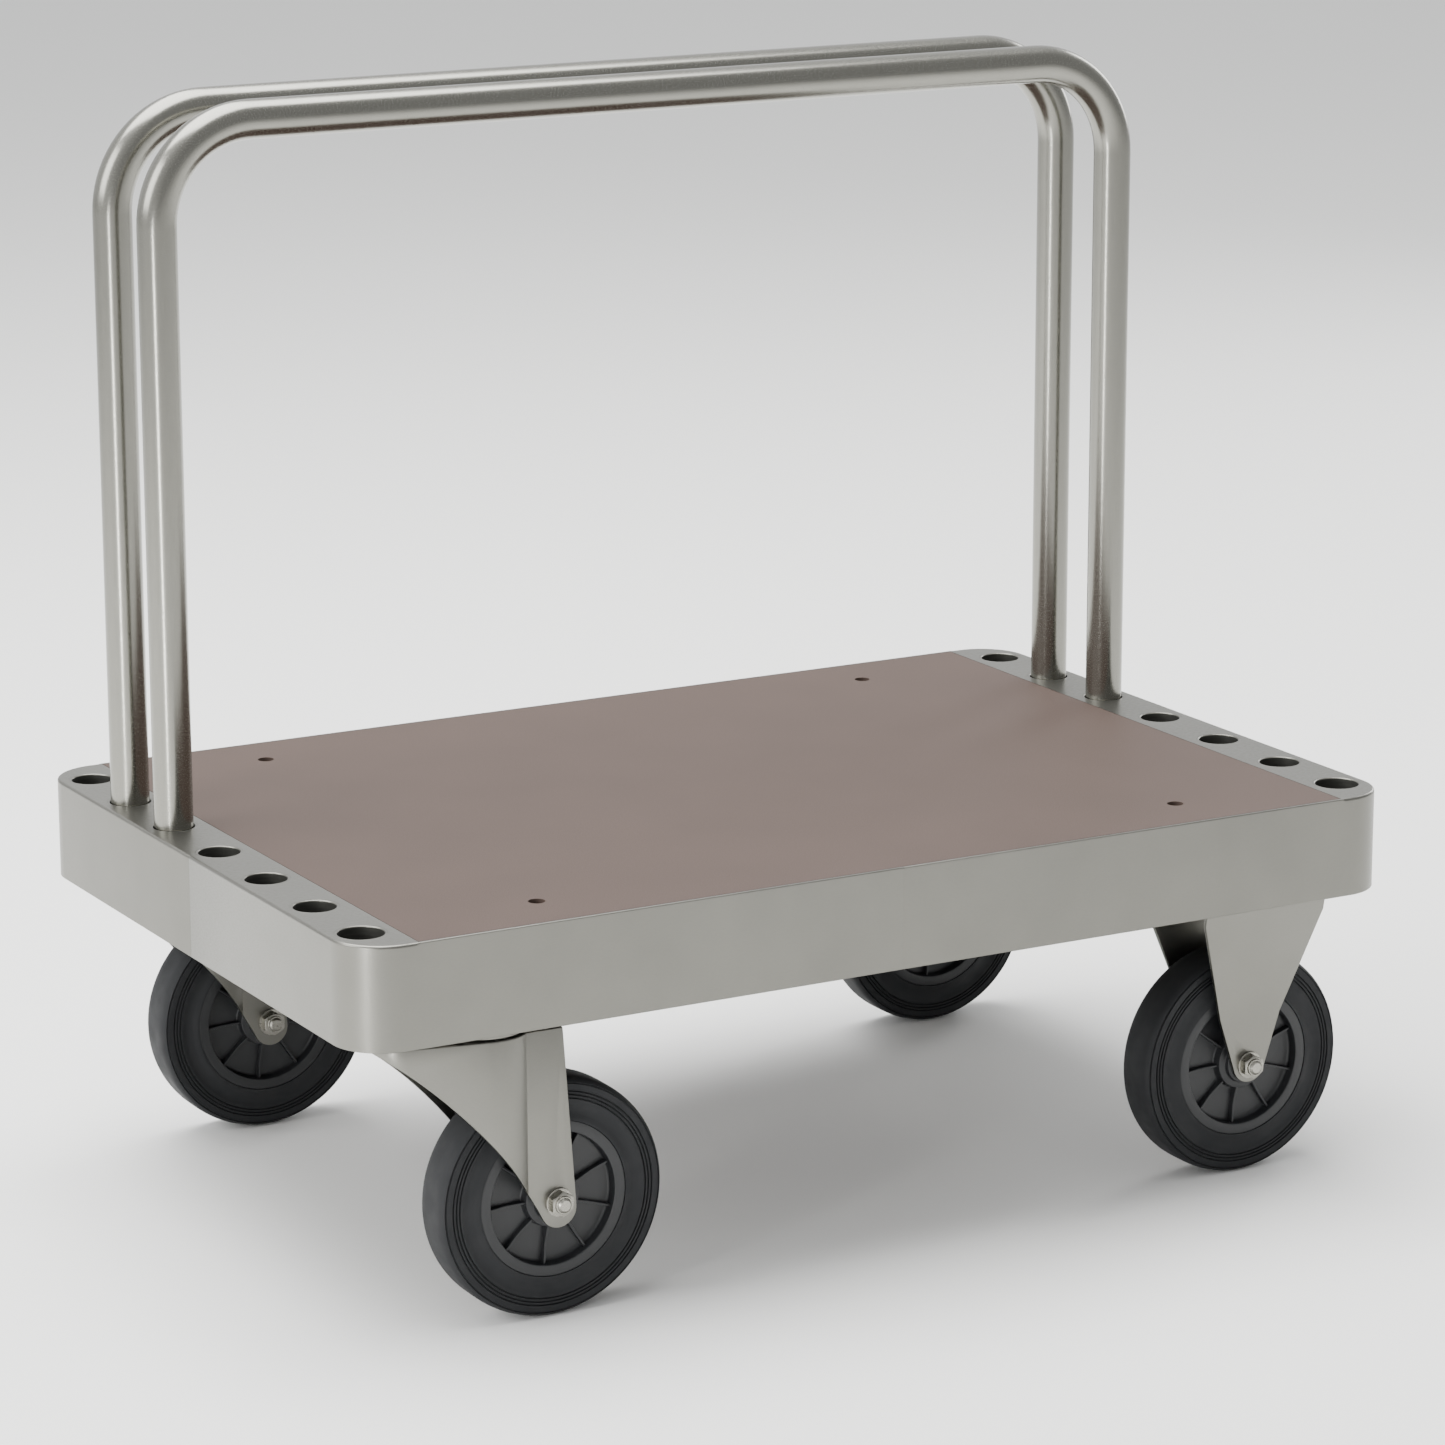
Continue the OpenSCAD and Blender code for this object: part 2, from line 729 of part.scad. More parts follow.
at_fixed_axle(1) axle_nut();  // fixed_axle_nut_rear
at_fixed_axle(1) spacers();  // fixed_spacers_rear
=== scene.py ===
"""Looks of a flatbed platform truck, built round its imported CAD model.

Every length is in metres, in the frame of the CAD model: +X runs along the deck to the
fixed casters, +Y across it to the rear, and +Z up from the floor.
"""

import json
import math

import bmesh
import bpy
from mathutils import Matrix, Vector
from mathutils.geometry import tessellate_polygon


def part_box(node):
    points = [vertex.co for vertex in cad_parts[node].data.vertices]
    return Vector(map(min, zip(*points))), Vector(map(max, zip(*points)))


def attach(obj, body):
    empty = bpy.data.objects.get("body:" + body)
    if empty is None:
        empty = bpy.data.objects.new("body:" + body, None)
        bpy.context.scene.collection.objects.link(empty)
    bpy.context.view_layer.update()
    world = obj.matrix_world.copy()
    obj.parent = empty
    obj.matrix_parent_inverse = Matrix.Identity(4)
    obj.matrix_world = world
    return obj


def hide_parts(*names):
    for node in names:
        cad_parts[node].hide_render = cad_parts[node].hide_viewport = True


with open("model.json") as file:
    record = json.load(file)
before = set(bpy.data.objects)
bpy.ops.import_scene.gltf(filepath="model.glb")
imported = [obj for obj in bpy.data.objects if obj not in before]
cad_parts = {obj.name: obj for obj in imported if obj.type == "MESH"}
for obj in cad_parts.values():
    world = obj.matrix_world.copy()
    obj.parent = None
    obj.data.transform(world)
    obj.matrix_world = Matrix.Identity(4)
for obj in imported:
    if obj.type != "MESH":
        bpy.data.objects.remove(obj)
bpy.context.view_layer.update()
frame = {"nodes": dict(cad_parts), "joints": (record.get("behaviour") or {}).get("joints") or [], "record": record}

bl_info = {
    "name": "Flatbed Platform Truck",
    "version": (1, 0, 0),
    "blender": (4, 5, 0),
    "location": "View3D > Sidebar > Truck",
    "description": "Builds the sheet metal, tubes, casters and finishes of a platform truck",
    "category": "Object",
}

MM = 0.001
# bolt holes of the two kinds of caster plate, along X and across
SWIVEL_HOLES = (84 * MM, 56 * MM)
FIXED_HOLES = (96 * MM, 76 * MM)
PLATE_BOLT_R = 5 * MM
PLATE_BOLT_FLATS = 17 * MM
PLATE_BOLT_HEAD = 6.4 * MM
AXLE_R = 6 * MM
AXLE_FLATS = 19 * MM
AXLE_HEAD = 6 * MM
AXLE_WASHER_R = 12 * MM
AXLE_WASHER_T = 1.5 * MM
BUSH_BORE_R = 6.1 * MM
BUSH_GAP = 0.02 * MM
# joint between the board and the flanges
BOARD_JOINT = 0.6 * MM
BALLS = 20
SIDES = {"front": -1, "rear": 1}
ENDS = {"left": -1, "right": 1}


# ---------- sizes and colours that a user would change ----------


def linear(code):
    """An sRGB hex value as a linear colour with alpha."""
    channels = [int(code[i:i + 2], 16) / 255 for i in (0, 2, 4)]
    bent = [c / 12.92 if c <= 0.04045 else ((c + 0.055) / 1.055) ** 2.4 for c in channels]
    return (*bent, 1.0)


def length(name, description, default):
    """A length property in metres."""
    return bpy.props.FloatProperty(name=name, description=description, default=default, unit="LENGTH")


def colour(name, description, code):
    """A colour property from an sRGB hex value."""
    return bpy.props.FloatVectorProperty(
        name=name, description=description, default=linear(code), size=4, min=0, max=1, subtype="COLOR")


class TruckSizes(bpy.types.PropertyGroup):
    """Sizes of the details that the CAD model leaves plain."""

    sheet: length("Rim sheet", "Sheet thickness of the rim and the end flanges", 2.5 * MM)
    corner: length("Rim corner", "Outer radius of the rim's upright corners", 45 * MM)
    fold: length("Fold radius", "Outer radius of the fold between rim and flange", 2.4 * MM)
    seam: length("Seam depth", "Depth of the ground butt-weld seams in the rim", 0.25 * MM)
    socket_wall: length("Socket wall", "Wall of a socket tube", 2.3 * MM)
    tube_wall: length("Hoop wall", "Wall of the hoop tube", 2.6 * MM)
    bend: length("Hoop bend", "Bend radius of a hoop at its centre line", 85 * MM)
    ease: length("Sheet edge", "Rounding of cut edges on the pressed sheet parts", 0.9 * MM)
    groove: length("Tread groove", "Depth of the fine grooves moulded in the tyre's side", 1.6 * MM)
    ring: length("Wheel rim", "Radial thickness of the wheel centre's rim", 9.4 * MM)
    hub: length("Hub radius", "Outer radius of the hub's foot", 24 * MM)
    web: length("Wheel web", "Half thickness of the wheel centre's web", 11 * MM)
    ribs: bpy.props.IntProperty(name="Ribs", description="Ribs of a wheel centre", default=9, min=5, max=12)


class TruckColours(bpy.types.PropertyGroup):
    """Base colours of the finishes."""

    sheet: colour("Zinc sheet", "Satin zinc on the rim and the forks", "7B7A74")
    section: colour("Sections", "Zinc on the hidden sections and the sockets", "73726C")
    tube: colour("Tube", "Brushed tube of the hoops", "8A8982")
    board: colour("Board film", "Brown film on the board", "4C3F39")
    rubber: colour("Rubber", "Grey-black tyre rubber", "1D1E20")
    plastic: colour("Wheel plastic", "Moulded wheel centres", "1C1D1F")
    fastener: colour("Fasteners", "Bright zinc plating of bolts and nuts", "9C9A92")
    bearing: colour("Bearing steel", "Ground steel of bushes and balls", "B0B0AE")
    floor: colour("Floor", "Pale studio floor", "F5F5F3")


# ---------- plain shapes as (vertices, faces) ----------


def fillet(points, radii, steps=4):
    """A closed outline of 2-D points with rounded corners; radii is one value or one for each corner."""
    count = len(points)
    radii = radii if isinstance(radii, (list, tuple)) else [radii] * count
    out = []
    for i, radius in enumerate(radii):
        corner = Vector(points[i])
        before = Vector(points[i - 1]) - corner
        after = Vector(points[(i + 1) % count]) - corner
        half = before.angle(after) / 2
        reach = min(radius / math.tan(half), before.length * 0.49, after.length * 0.49) if radius else 0
        if reach < 1e-7 or half > math.radians(88):
            out.append(tuple(corner))
            continue
        start = corner + before.normalized() * reach
        end = corner + after.normalized() * reach
        centre = corner + (before.normalized() + after.normalized()).normalized() * reach / math.cos(half)
        first, last = start - centre, end - centre
        sweep = math.pi - 2 * half
        for k in range(steps + 1):
            share = k / steps
            arm = (first * math.sin((1 - share) * sweep) + last * math.sin(share * sweep)) / math.sin(sweep)
            out.append(tuple(centre + arm))
    return out


def lathe(outline, steps=64):
    """A closed (radius, height) outline turned round Z."""
    count = len(outline)
    verts = []
    for i in range(steps):
        angle = math.tau * i / steps
        verts += [(r * math.cos(angle), r * math.sin(angle), z) for r, z in outline]
    faces = []
    for i in range(steps):
        j = (i + 1) % steps
        faces += [(i * count + k, j * count + k, j * count + (k + 1) % count, i * count + (k + 1) % count)
                  for k in range(count)]
    return verts, faces


def moved(shape, matrix):
    """The shape with its vertices put through a matrix."""
    return [tuple(matrix @ Vector(v)) for v in shape[0]], shape[1]


def joined(*shapes):
    """Several shapes as one."""
    verts, faces = [], []
    for shape in shapes:
        base = len(verts)
        verts += shape[0]
        faces += [tuple(base + i for i in face) for face in shape[1]]
    return verts, faces


def hex_ring(flats, reach, count=24):
    """Points round a hexagon across the given flats, none further out than reach."""
    ring = []
    for i in range(count):
        angle = math.tau * i / count
        lean = (angle + math.pi / 6) % (math.pi / 3) - math.pi / 6
        ring.append((angle, min(flats / 2 / math.cos(lean), reach)))
    return ring


def hexagon(flats, height, bore=0, lower=False):
    """A hexagon head or nut standing on Z 0, chamfered at 30 degrees on top and, if lower, below."""
    top_r = flats * 0.475
    slope = math.tan(math.radians(30))
    wide = hex_ring(flats, flats)
    inner = bore or flats * 0.02
    rows = [[(a, inner, 0) for a, r in wide]]
    if lower:
        rows.append([(a, top_r, 0) for a, r in wide])
    rows.append([(a, r, max(r - top_r, 0) * slope if lower else 0) for a, r in wide])
    rows.append([(a, r, height - max(r - top_r, 0) * slope) for a, r in wide])
    rows.append([(a, top_r, height) for a, r in wide])
    rows.append([(a, inner, height) for a, r in wide])
    verts = [(r * math.cos(a), r * math.sin(a), z) for row in rows for a, r, z in row]
    count, total = len(wide), len(rows)
    faces = [(j * count + i, j * count + (i + 1) % count, (j + 1) % total * count + (i + 1) % count,
              (j + 1) % total * count + i) for j in range(total) for i in range(count)]
    return verts, faces


def thread(radius, low, high, pitch=1.5 * MM, steps=32):
    """A bolt's shank from low to high with rolled thread rings and a chamfered end at high."""
    depth = pitch * 0.35
    outline = [(0, low), (radius, low)]
    for i in range(int((high - low - pitch) / pitch)):
        z = low + i * pitch
        outline += [(radius, z + pitch * 0.3), (radius - depth, z + pitch * 0.65), (radius, z + pitch)]
    outline += [(radius, high - pitch), (radius - pitch, high), (0, high)]
    return lathe(outline, steps)


def washer(bore, radius, low, high, steps=48):
    """A flat washer with eased edges."""
    edge = min(0.3 * MM, (high - low) / 4)
    return lathe(fillet([(bore, low), (radius, low), (radius, high), (bore, high)], edge, 2), steps)


# ---------- objects ----------


def raw_object(name, shape):
    """A mesh object from a shape, merged, with its faces turned outwards."""
    mesh = bpy.data.meshes.new(name)
    mesh.from_pydata(shape[0], [], shape[1])
    work = bmesh.new()
    work.from_mesh(mesh)
    bmesh.ops.remove_doubles(work, verts=work.verts, dist=1e-6)
    bmesh.ops.dissolve_degenerate(work, edges=work.edges, dist=1e-7)
    bmesh.ops.recalc_face_normals(work, faces=work.faces)
    work.to_mesh(mesh)
    work.free()
    made = bpy.data.objects.new(name, mesh)
    bpy.context.scene.collection.objects.link(made)
    return made


def settle(made, sharp=38):
    """Applies the object's modifiers and smooths its shading up to an angle."""
    mesh = bpy.data.meshes.new_from_object(made.evaluated_get(bpy.context.evaluated_depsgraph_get()))
    made.modifiers.clear()
    made.data = mesh
    mesh.shade_smooth()
    mesh.set_sharp_from_angle(angle=math.radians(sharp))
    return made


def place(made, body, finish, slot, *nodes):
    """Gives a finished piece its material, its body and the CAD nodes that it stands for; the slot is not used."""
    made.data.materials.clear()
    made.data.materials.append(finish)
    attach(made, body)
    if nodes:
        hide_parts(*nodes)
    return made


def copied(source, name, offset=(0, 0, 0)):
    """A plain copy of a finished mesh, moved in its vertices."""
    made = bpy.data.objects.new(name, source.data.copy())
    made.data.transform(Matrix.Translation(offset))
    bpy.context.scene.collection.objects.link(made)
    return made


def eased(node, name, width, steps=2, big=None):
    """A copy of a CAD node's mesh with rounded sharp edges; big(edge) gives an edge's share of width."""
    made = bpy.data.objects.new(name, frame["nodes"][node].data.copy())
    bpy.context.scene.collection.objects.link(made)
    work = bmesh.new()
    work.from_mesh(made.data)
    bmesh.ops.remove_doubles(work, verts=work.verts, dist=2e-6)
    bmesh.ops.dissolve_limit(work, angle_limit=math.radians(0.4), verts=work.verts, edges=work.edges)
    weights = work.edges.layers.float.new("bevel_weight_edge")
    for edge in work.edges:
        if len(edge.link_faces) == 2 and edge.calc_face_angle(0) > math.radians(32):
            edge[weights] = big(edge) if big else 1.0
    work.to_mesh(made.data)
    work.free()
    bevel = made.modifiers.new("ease", "BEVEL")
    bevel.limit_method = "WEIGHT"
    bevel.width = width
    bevel.segments = steps
    bevel.use_clamp_overlap = True
    bevel.harden_normals = False
    return settle(made)


# ---------- node trees ----------


def add(tree, kind, settings=None, links=None):
    """Adds a node: settings are its properties or input defaults, links are sockets led into its inputs."""
    made = tree.nodes.new(kind)
    for key, value in (settings or {}).items():
        if isinstance(key, str) and hasattr(made, key):
            setattr(made, key, value)
        else:
            made.inputs[key].default_value = value
    for key, source in (links or {}).items():
        tree.links.new(source, made.inputs[key])
    return made


def geometry_tree(name, inputs):
    """An empty geometry tree with named inputs, its input node and a finisher that closes it."""
    tree = bpy.data.node_groups.new(name, "GeometryNodeTree")
    tree.interface.new_socket("Geometry", in_out="OUTPUT", socket_type="NodeSocketGeometry")
    for label, kind in inputs.items():
        tree.interface.new_socket(label, in_out="INPUT", socket_type="NodeSocket" + kind)
    given = add(tree, "NodeGroupInput")

    def close(geometry):
        real = add(tree, "GeometryNodeRealizeInstances", links={"Geometry": geometry})
        coat = add(tree, "GeometryNodeSetMaterial",
                   links={"Geometry": real.outputs["Geometry"], "Material": given.outputs["Finish"]})
        add(tree, "NodeGroupOutput", links={"Geometry": coat.outputs["Geometry"]})
        return tree

    return tree, given.outputs, close


def ring_tree():
    """Turns copies of a piece round the Y axis, evenly from a first angle."""
    tree, given, close = geometry_tree(
        "repeat round axle",
        {"Piece": "Object", "Count": "Int", "First angle": "Float", "Finish": "Material"})
    piece = add(tree, "GeometryNodeObjectInfo", links={"Object": given["Piece"]})
    spots = add(tree, "GeometryNodeMeshLine", {"Offset": (0, 0, 0)}, {"Count": given["Count"]})
    step = add(tree, "ShaderNodeMath", {"operation": "DIVIDE", 0: math.tau}, {1: given["Count"]})
    index = add(tree, "GeometryNodeInputIndex")
    angle = add(tree, "ShaderNodeMath", {"operation": "MULTIPLY_ADD"},
                {0: index.outputs[0], 1: step.outputs[0], 2: given["First angle"]})
    turn = add(tree, "FunctionNodeAxisAngleToRotation", {"Axis": (0, 1, 0)}, {"Angle": angle.outputs[0]})
    copies = add(tree, "GeometryNodeInstanceOnPoints", links={
        "Points": spots.outputs["Mesh"], "Instance": piece.outputs["Geometry"],
        "Rotation": turn.outputs["Rotation"]})
    return close(copies.outputs["Instances"])


def row_tree():
    """Sets copies of a piece in a straight row."""
    tree, given, close = geometry_tree(
        "repeat in a row", {"Piece": "Object", "Count": "Int", "Start": "Vector", "Pitch": "Vector",
                            "Finish": "Material"})
    piece = add(tree, "GeometryNodeObjectInfo", links={"Object": given["Piece"]})
    spots = add(tree, "GeometryNodeMeshLine",
                links={"Count": given["Count"], "Start Location": given["Start"], "Offset": given["Pitch"]})
    copies = add(tree, "GeometryNodeInstanceOnPoints", links={
        "Points": spots.outputs["Mesh"], "Instance": piece.outputs["Geometry"]})
    return close(copies.outputs["Instances"])


def corner_tree():
    """Sets copies of a piece at the four corners of a rectangle round each of two mirrored centres."""
    tree, given, close = geometry_tree(
        "repeat at plate corners", {"Piece": "Object", "Centre": "Vector", "Across": "Vector",
                                    "Length": "Float", "Width": "Float", "Finish": "Material"})
    piece = add(tree, "GeometryNodeObjectInfo", links={"Object": given["Piece"]})
    plates = add(tree, "GeometryNodeMeshLine", {"Count": 2},
                 {"Start Location": given["Centre"], "Offset": given["Across"]})
    plate = add(tree, "GeometryNodeMeshGrid", {"Vertices X": 2, "Vertices Y": 2},
                {"Size X": given["Length"], "Size Y": given["Width"]})
    plates_on = add(tree, "GeometryNodeInstanceOnPoints", links={
        "Points": plates.outputs["Mesh"], "Instance": plate.outputs["Mesh"]})
    spots = add(tree, "GeometryNodeRealizeInstances", links={"Geometry": plates_on.outputs["Instances"]})
    copies = add(tree, "GeometryNodeInstanceOnPoints", links={
        "Points": spots.outputs["Geometry"], "Instance": piece.outputs["Geometry"]})
    return close(copies.outputs["Instances"])


def ball_tree():
    """Sets balls evenly on a level circle."""
    tree, given, close = geometry_tree(
        "ball ring", {"Count": "Int", "Circle radius": "Float", "Ball radius": "Float", "Centre": "Vector",
                      "Finish": "Material"})
    circle = add(tree, "GeometryNodeMeshCircle",
                 links={"Vertices": given["Count"], "Radius": given["Circle radius"]})
    lifted = add(tree, "GeometryNodeTransform",
                 links={"Geometry": circle.outputs["Mesh"], "Translation": given["Centre"]})
    ball = add(tree, "GeometryNodeMeshUVSphere", {"Segments": 20, "Rings": 12},
               {"Radius": given["Ball radius"]})
    copies = add(tree, "GeometryNodeInstanceOnPoints", links={
        "Points": lifted.outputs["Geometry"], "Instance": ball.outputs["Mesh"]})
    return close(copies.outputs["Instances"])


def grown(name, tree, values, template=None):
    """A plain mesh object grown by a geometry tree from named inputs; the template is then removed."""
    made = bpy.data.objects.new(name, bpy.data.meshes.new(name))
    bpy.context.scene.collection.objects.link(made)
    growth = made.modifiers.new(name, "NODES")
    growth.node_group = tree
    sockets = {item.name: item.identifier for item in tree.interface.items_tree if item.in_out == "INPUT"}
    for label, value in values.items():
        growth[sockets[label]] = value
    if template:
        growth[sockets["Piece"]] = template
    settle(made)
    if template:
        bpy.data.objects.remove(template)
    return made


# ---------- materials ----------


def base_material(name, colour, metallic, roughness, ior=None):
    """A material with a Principled shader and Object coordinates."""
    made = bpy.data.materials.new(name)
    made.use_nodes = True
    tree = made.node_tree
    tree.nodes.clear()
    shader = add(tree, "ShaderNodeBsdfPrincipled",
                 {"Base Color": colour, "Metallic": metallic, "Roughness": roughness})
    if ior:
        shader.inputs["IOR"].default_value = ior
    add(tree, "ShaderNodeOutputMaterial", links={"Surface": shader.outputs["BSDF"]})
    coords = add(tree, "ShaderNodeTexCoord")
    return made, tree, shader, coords


def noise(tree, coords, grain, stretch=(1, 1, 1), detail=3.0):
    """Noise with features of about grain metres, drawn out along an axis by a stretch under 1."""
    scaled = add(tree, "ShaderNodeMapping", {"Scale": stretch}, {"Vector": coords})
    return add(tree, "ShaderNodeTexNoise", {"Scale": 1 / grain, "Detail": detail},
               {"Vector": scaled.outputs["Vector"]}).outputs["Fac"]


def tint(tree, shader, factor, dark, light):
    """Leads a two-colour mix into the base colour."""
    blend = add(tree, "ShaderNodeMix", {"data_type": "RGBA", 6: dark, 7: light}, {0: factor})
    tree.links.new(blend.outputs[2], shader.inputs["Base Color"])


def vary(tree, shader, factor, low, high):
    """Leads a noise, mapped to a range, into the roughness."""
    span = add(tree, "ShaderNodeMapRange",
               {"From Min": 0.3, "From Max": 0.7, "To Min": low, "To Max": high}, {"Value": factor})
    tree.links.new(span.outputs["Result"], shader.inputs["Roughness"])


def bump(tree, shader, heights, depth):
    """Adds several heights and leads them into the normal; depth is in metres."""
    total = heights[0]
    for height in heights[1:]:
        total = add(tree, "ShaderNodeMath", {"operation": "ADD"}, {0: total, 1: height}).outputs[0]
    relief = add(tree, "ShaderNodeBump", {"Strength": 1.0, "Distance": depth}, {"Height": total})
    tree.links.new(relief.outputs["Normal"], shader.inputs["Normal"])


def shade(colour, share):
    """The colour made darker or lighter by a share."""
    return tuple(min(1.0, c * share) for c in colour[:3]) + (1.0,)


def zinc_sheet(hues):
    """Hot-dip zinc rolled to a satin skin: a soft grey metal with a fine flat grain and faint clouds."""
    made, tree, shader, coords = base_material("satin_zinc_sheet", hues.sheet, 1.0, 0.36)
    where = coords.outputs["Object"]
    clouds = noise(tree, where, 60 * MM, detail=2)
    # rolled grain is finer than 0.1 mm; it is drawn 0.9 mm wide so that it shows
    grain = noise(tree, where, 0.9 * MM, (0.25, 0.25, 1))
    mixed = add(tree, "ShaderNodeMix", {"data_type": "FLOAT", 0: 0.45}, {2: clouds, 3: grain})
    tint(tree, shader, mixed.outputs[0], shade(hues.sheet, 0.82), shade(hues.sheet, 1.14))
    vary(tree, shader, grain, 0.31, 0.41)
    bump(tree, shader, [grain], 0.006 * MM)
    return made


def zinc_section(hues):
    """Galvanised rolled section: duller than the sheet, with zinc spangles a few millimetres wide."""
    made, tree, shader, coords = base_material("galvanised_section", hues.section, 1.0, 0.46)
    where = coords.outputs["Object"]
    spangle = add(tree, "ShaderNodeTexVoronoi", {"Scale": 1 / (7 * MM)}, {"Vector": where})
    value = add(tree, "ShaderNodeSeparateColor", links={"Color": spangle.outputs["Color"]})
    tint(tree, shader, value.outputs[0], shade(hues.section, 0.86), shade(hues.section, 1.08))
    vary(tree, shader, noise(tree, where, 4 * MM), 0.40, 0.54)
    return made


def painted_shade_bore(hues):
    """Painted shade in a socket bore: dull, near-black steel whose dark colour and dark rings stand in for the
    shade deep in the tube, so a socket reads as a dark hole.
    """
    made, tree, shader, coords = base_material("bore_painted_shade", linear("34342F"), 0.6, 0.55)
    where = coords.outputs["Object"]
    rings = noise(tree, where, 3 * MM, (0.15, 0.15, 1))
    tint(tree, shader, rings, linear("22221F"), linear("4A4A45"))
    return made


def tube_steel(hues):
    """Tube ground lengthwise on a belt: a clear metal with long soft streaks and stripe reflections."""
    made, tree, shader, coords = base_material("belt_ground_tube", hues.tube, 1.0, 0.24)
    # UV runs in metres: u round the tube and v along it
    run = coords.outputs["UV"]
    streak = noise(tree, run, 0.8 * MM, (1, 0.03, 1))
    fleck = noise(tree, run, 0.7 * MM, (1, 0.6, 1))
    tint(tree, shader, streak, shade(hues.tube, 0.86), shade(hues.tube, 1.1))
    vary(tree, shader, fleck, 0.19, 0.29)
    bump(tree, shader, [streak, fleck], 0.0016 * MM)
    return made


def board_film(hues):
    """Phenolic film on birch plywood: matt brown with a fine pressed speckle and a slight waxy gloss."""
    made, tree, shader, coords = base_material("phenolic_film", hues.board, 0.0, 0.5, 1.45)
    where = coords.outputs["Object"]
    speckle = noise(tree, where, 1.1 * MM, detail=4)
    clouds = noise(tree, where, 90 * MM, detail=2)
    mixed = add(tree, "ShaderNodeMix", {"data_type": "FLOAT", 0: 0.6}, {2: clouds, 3: speckle})
    tint(tree, shader, mixed.outputs[0], shade(hues.board, 0.80), shade(hues.board, 1.18))
    vary(tree, shader, speckle, 0.52, 0.66)
    shader.inputs["Specular IOR Level"].default_value = 0.22
    bump(tree, shader, [speckle], 0.03 * MM)
    return made


def tyre_rubber(hues):
    """Moulded solid rubber: dark grey, soft sheen-free surface with a faint dusty bloom."""
    made, tree, shader, coords = base_material("solid_rubber", hues.rubber, 0.0, 0.6, 1.52)
    where = coords.outputs["Object"]
    bloom = noise(tree, where, 18 * MM, detail=3)
    pores = noise(tree, where, 0.8 * MM)
    tint(tree, shader, bloom, shade(hues.rubber, 0.82), shade(hues.rubber, 1.2))
    vary(tree, shader, bloom, 0.6, 0.76)
    shader.inputs["Specular IOR Level"].default_value = 0.3
    bump(tree, shader, [pores], 0.03 * MM)
    return made


def wheel_plastic(hues):
    """Injection-moulded polypropylene: near-black, fine eroded texture, a dull broad highlight."""
    made, tree, shader, coords = base_material("moulded_polypropylene", hues.plastic, 0.0, 0.42, 1.49)
    where = coords.outputs["Object"]
    texture = noise(tree, where, 0.6 * MM)
    tint(tree, shader, noise(tree, where, 25 * MM), shade(hues.plastic, 0.85), shade(hues.plastic, 1.15))
    vary(tree, shader, texture, 0.38, 0.5)
    bump(tree, shader, [texture], 0.02 * MM)
    return made


def plated_fastener(hues):
    """Bright zinc plating on cold-headed steel: silvery with a faint warm cast and small handling marks."""
    made, tree, shader, coords = base_material("bright_zinc_plating", hues.fastener, 1.0, 0.3)
    where = coords.outputs["Object"]
    marks = noise(tree, where, 2.5 * MM, detail=4)
    tint(tree, shader, marks, shade(hues.fastener, 0.8), shade(hues.fastener, 1.08))
    vary(tree, shader, marks, 0.24, 0.38)
    bump(tree, shader, [marks], 0.01 * MM)
    return made


def ground_steel(hues):
    """Ground bearing steel: clear and smooth, with hair-fine grinding lines."""
    made, tree, shader, coords = base_material("ground_bearing_steel", hues.bearing, 1.0, 0.16)
    lines = noise(tree, coords.outputs["Object"], 0.5 * MM, (1, 0.1, 1))
    vary(tree, shader, lines, 0.12, 0.22)
    return made


def floor_paint(hues):
    """Smooth studio floor paint: pale and matt."""
    made, tree, shader, coords = base_material("studio_floor", hues.floor, 0.0, 0.8, 1.45)
    clouds = noise(tree, coords.outputs["Object"], 0.9, detail=2)
    tint(tree, shader, clouds, shade(hues.floor, 0.985), shade(hues.floor, 1.0))
    return made


# the "bore" finish is painted shade: a near-black colour for the shade inside the socket tubes
FINISHES = {
    "zinc_sheet": zinc_sheet, "frame_steel": zinc_section, "bore": painted_shade_bore, "tube": tube_steel,
    "board": board_film, "tyre": tyre_rubber, "wheel_plastic": wheel_plastic,
    "fastener": plated_fastener, "bearing_steel": ground_steel, "floor": floor_paint,
}
_made = {}


def finish(name):
    """The finish of that name, made at its first use."""
    if name not in _made:
        _made[name] = FINISHES[name](bpy.context.scene.truck_colours)
    return _made[name]


def recolour(node, name):
    """Gives a CAD node that keeps its shape a finish."""
    target = frame["nodes"][node]
    target.data.materials.clear()
    target.data.materials.append(finish(name))


# ---------- places read from the frame ----------


def middle(node):
    """Centre of a CAD node's box."""
    low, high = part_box(node)
    return (low + high) / 2


def socket_places():
    """(Y, bore radius) of the seven sockets of an end, from front to rear."""
    bores = {round(m["pos_m"][1], 5): m["dims"]["r_mm"] * MM
             for m in frame["record"]["mounts"] if m["name"].startswith("socket_left")}
    plain = min(bores.values())
    for side in SIDES:
        bores.setdefault(round(middle(f"hoop_{side}").y, 5), plain)
    return sorted(bores.items())


def axle_places():
    """{(kind, side): centre of the wheel} for the four wheels."""
    found = {}
    for joint in frame["joints"]:
        words = joint["name"].split("_")
        if words[-1] == "spin":
            found[words[0], words[2]] = Vector(joint["pos_m"])
    return found


def wheel_body(kind, side):
    """Name of the body that a wheel's pieces ride on."""
    return f"{kind}_wheel_{side}"


def fork_body(kind, side):
    """Name of the body that a fork's pieces ride on."""
    return f"swivel_{side}" if kind == "swivel" else "root"


# ---------- deck ----------


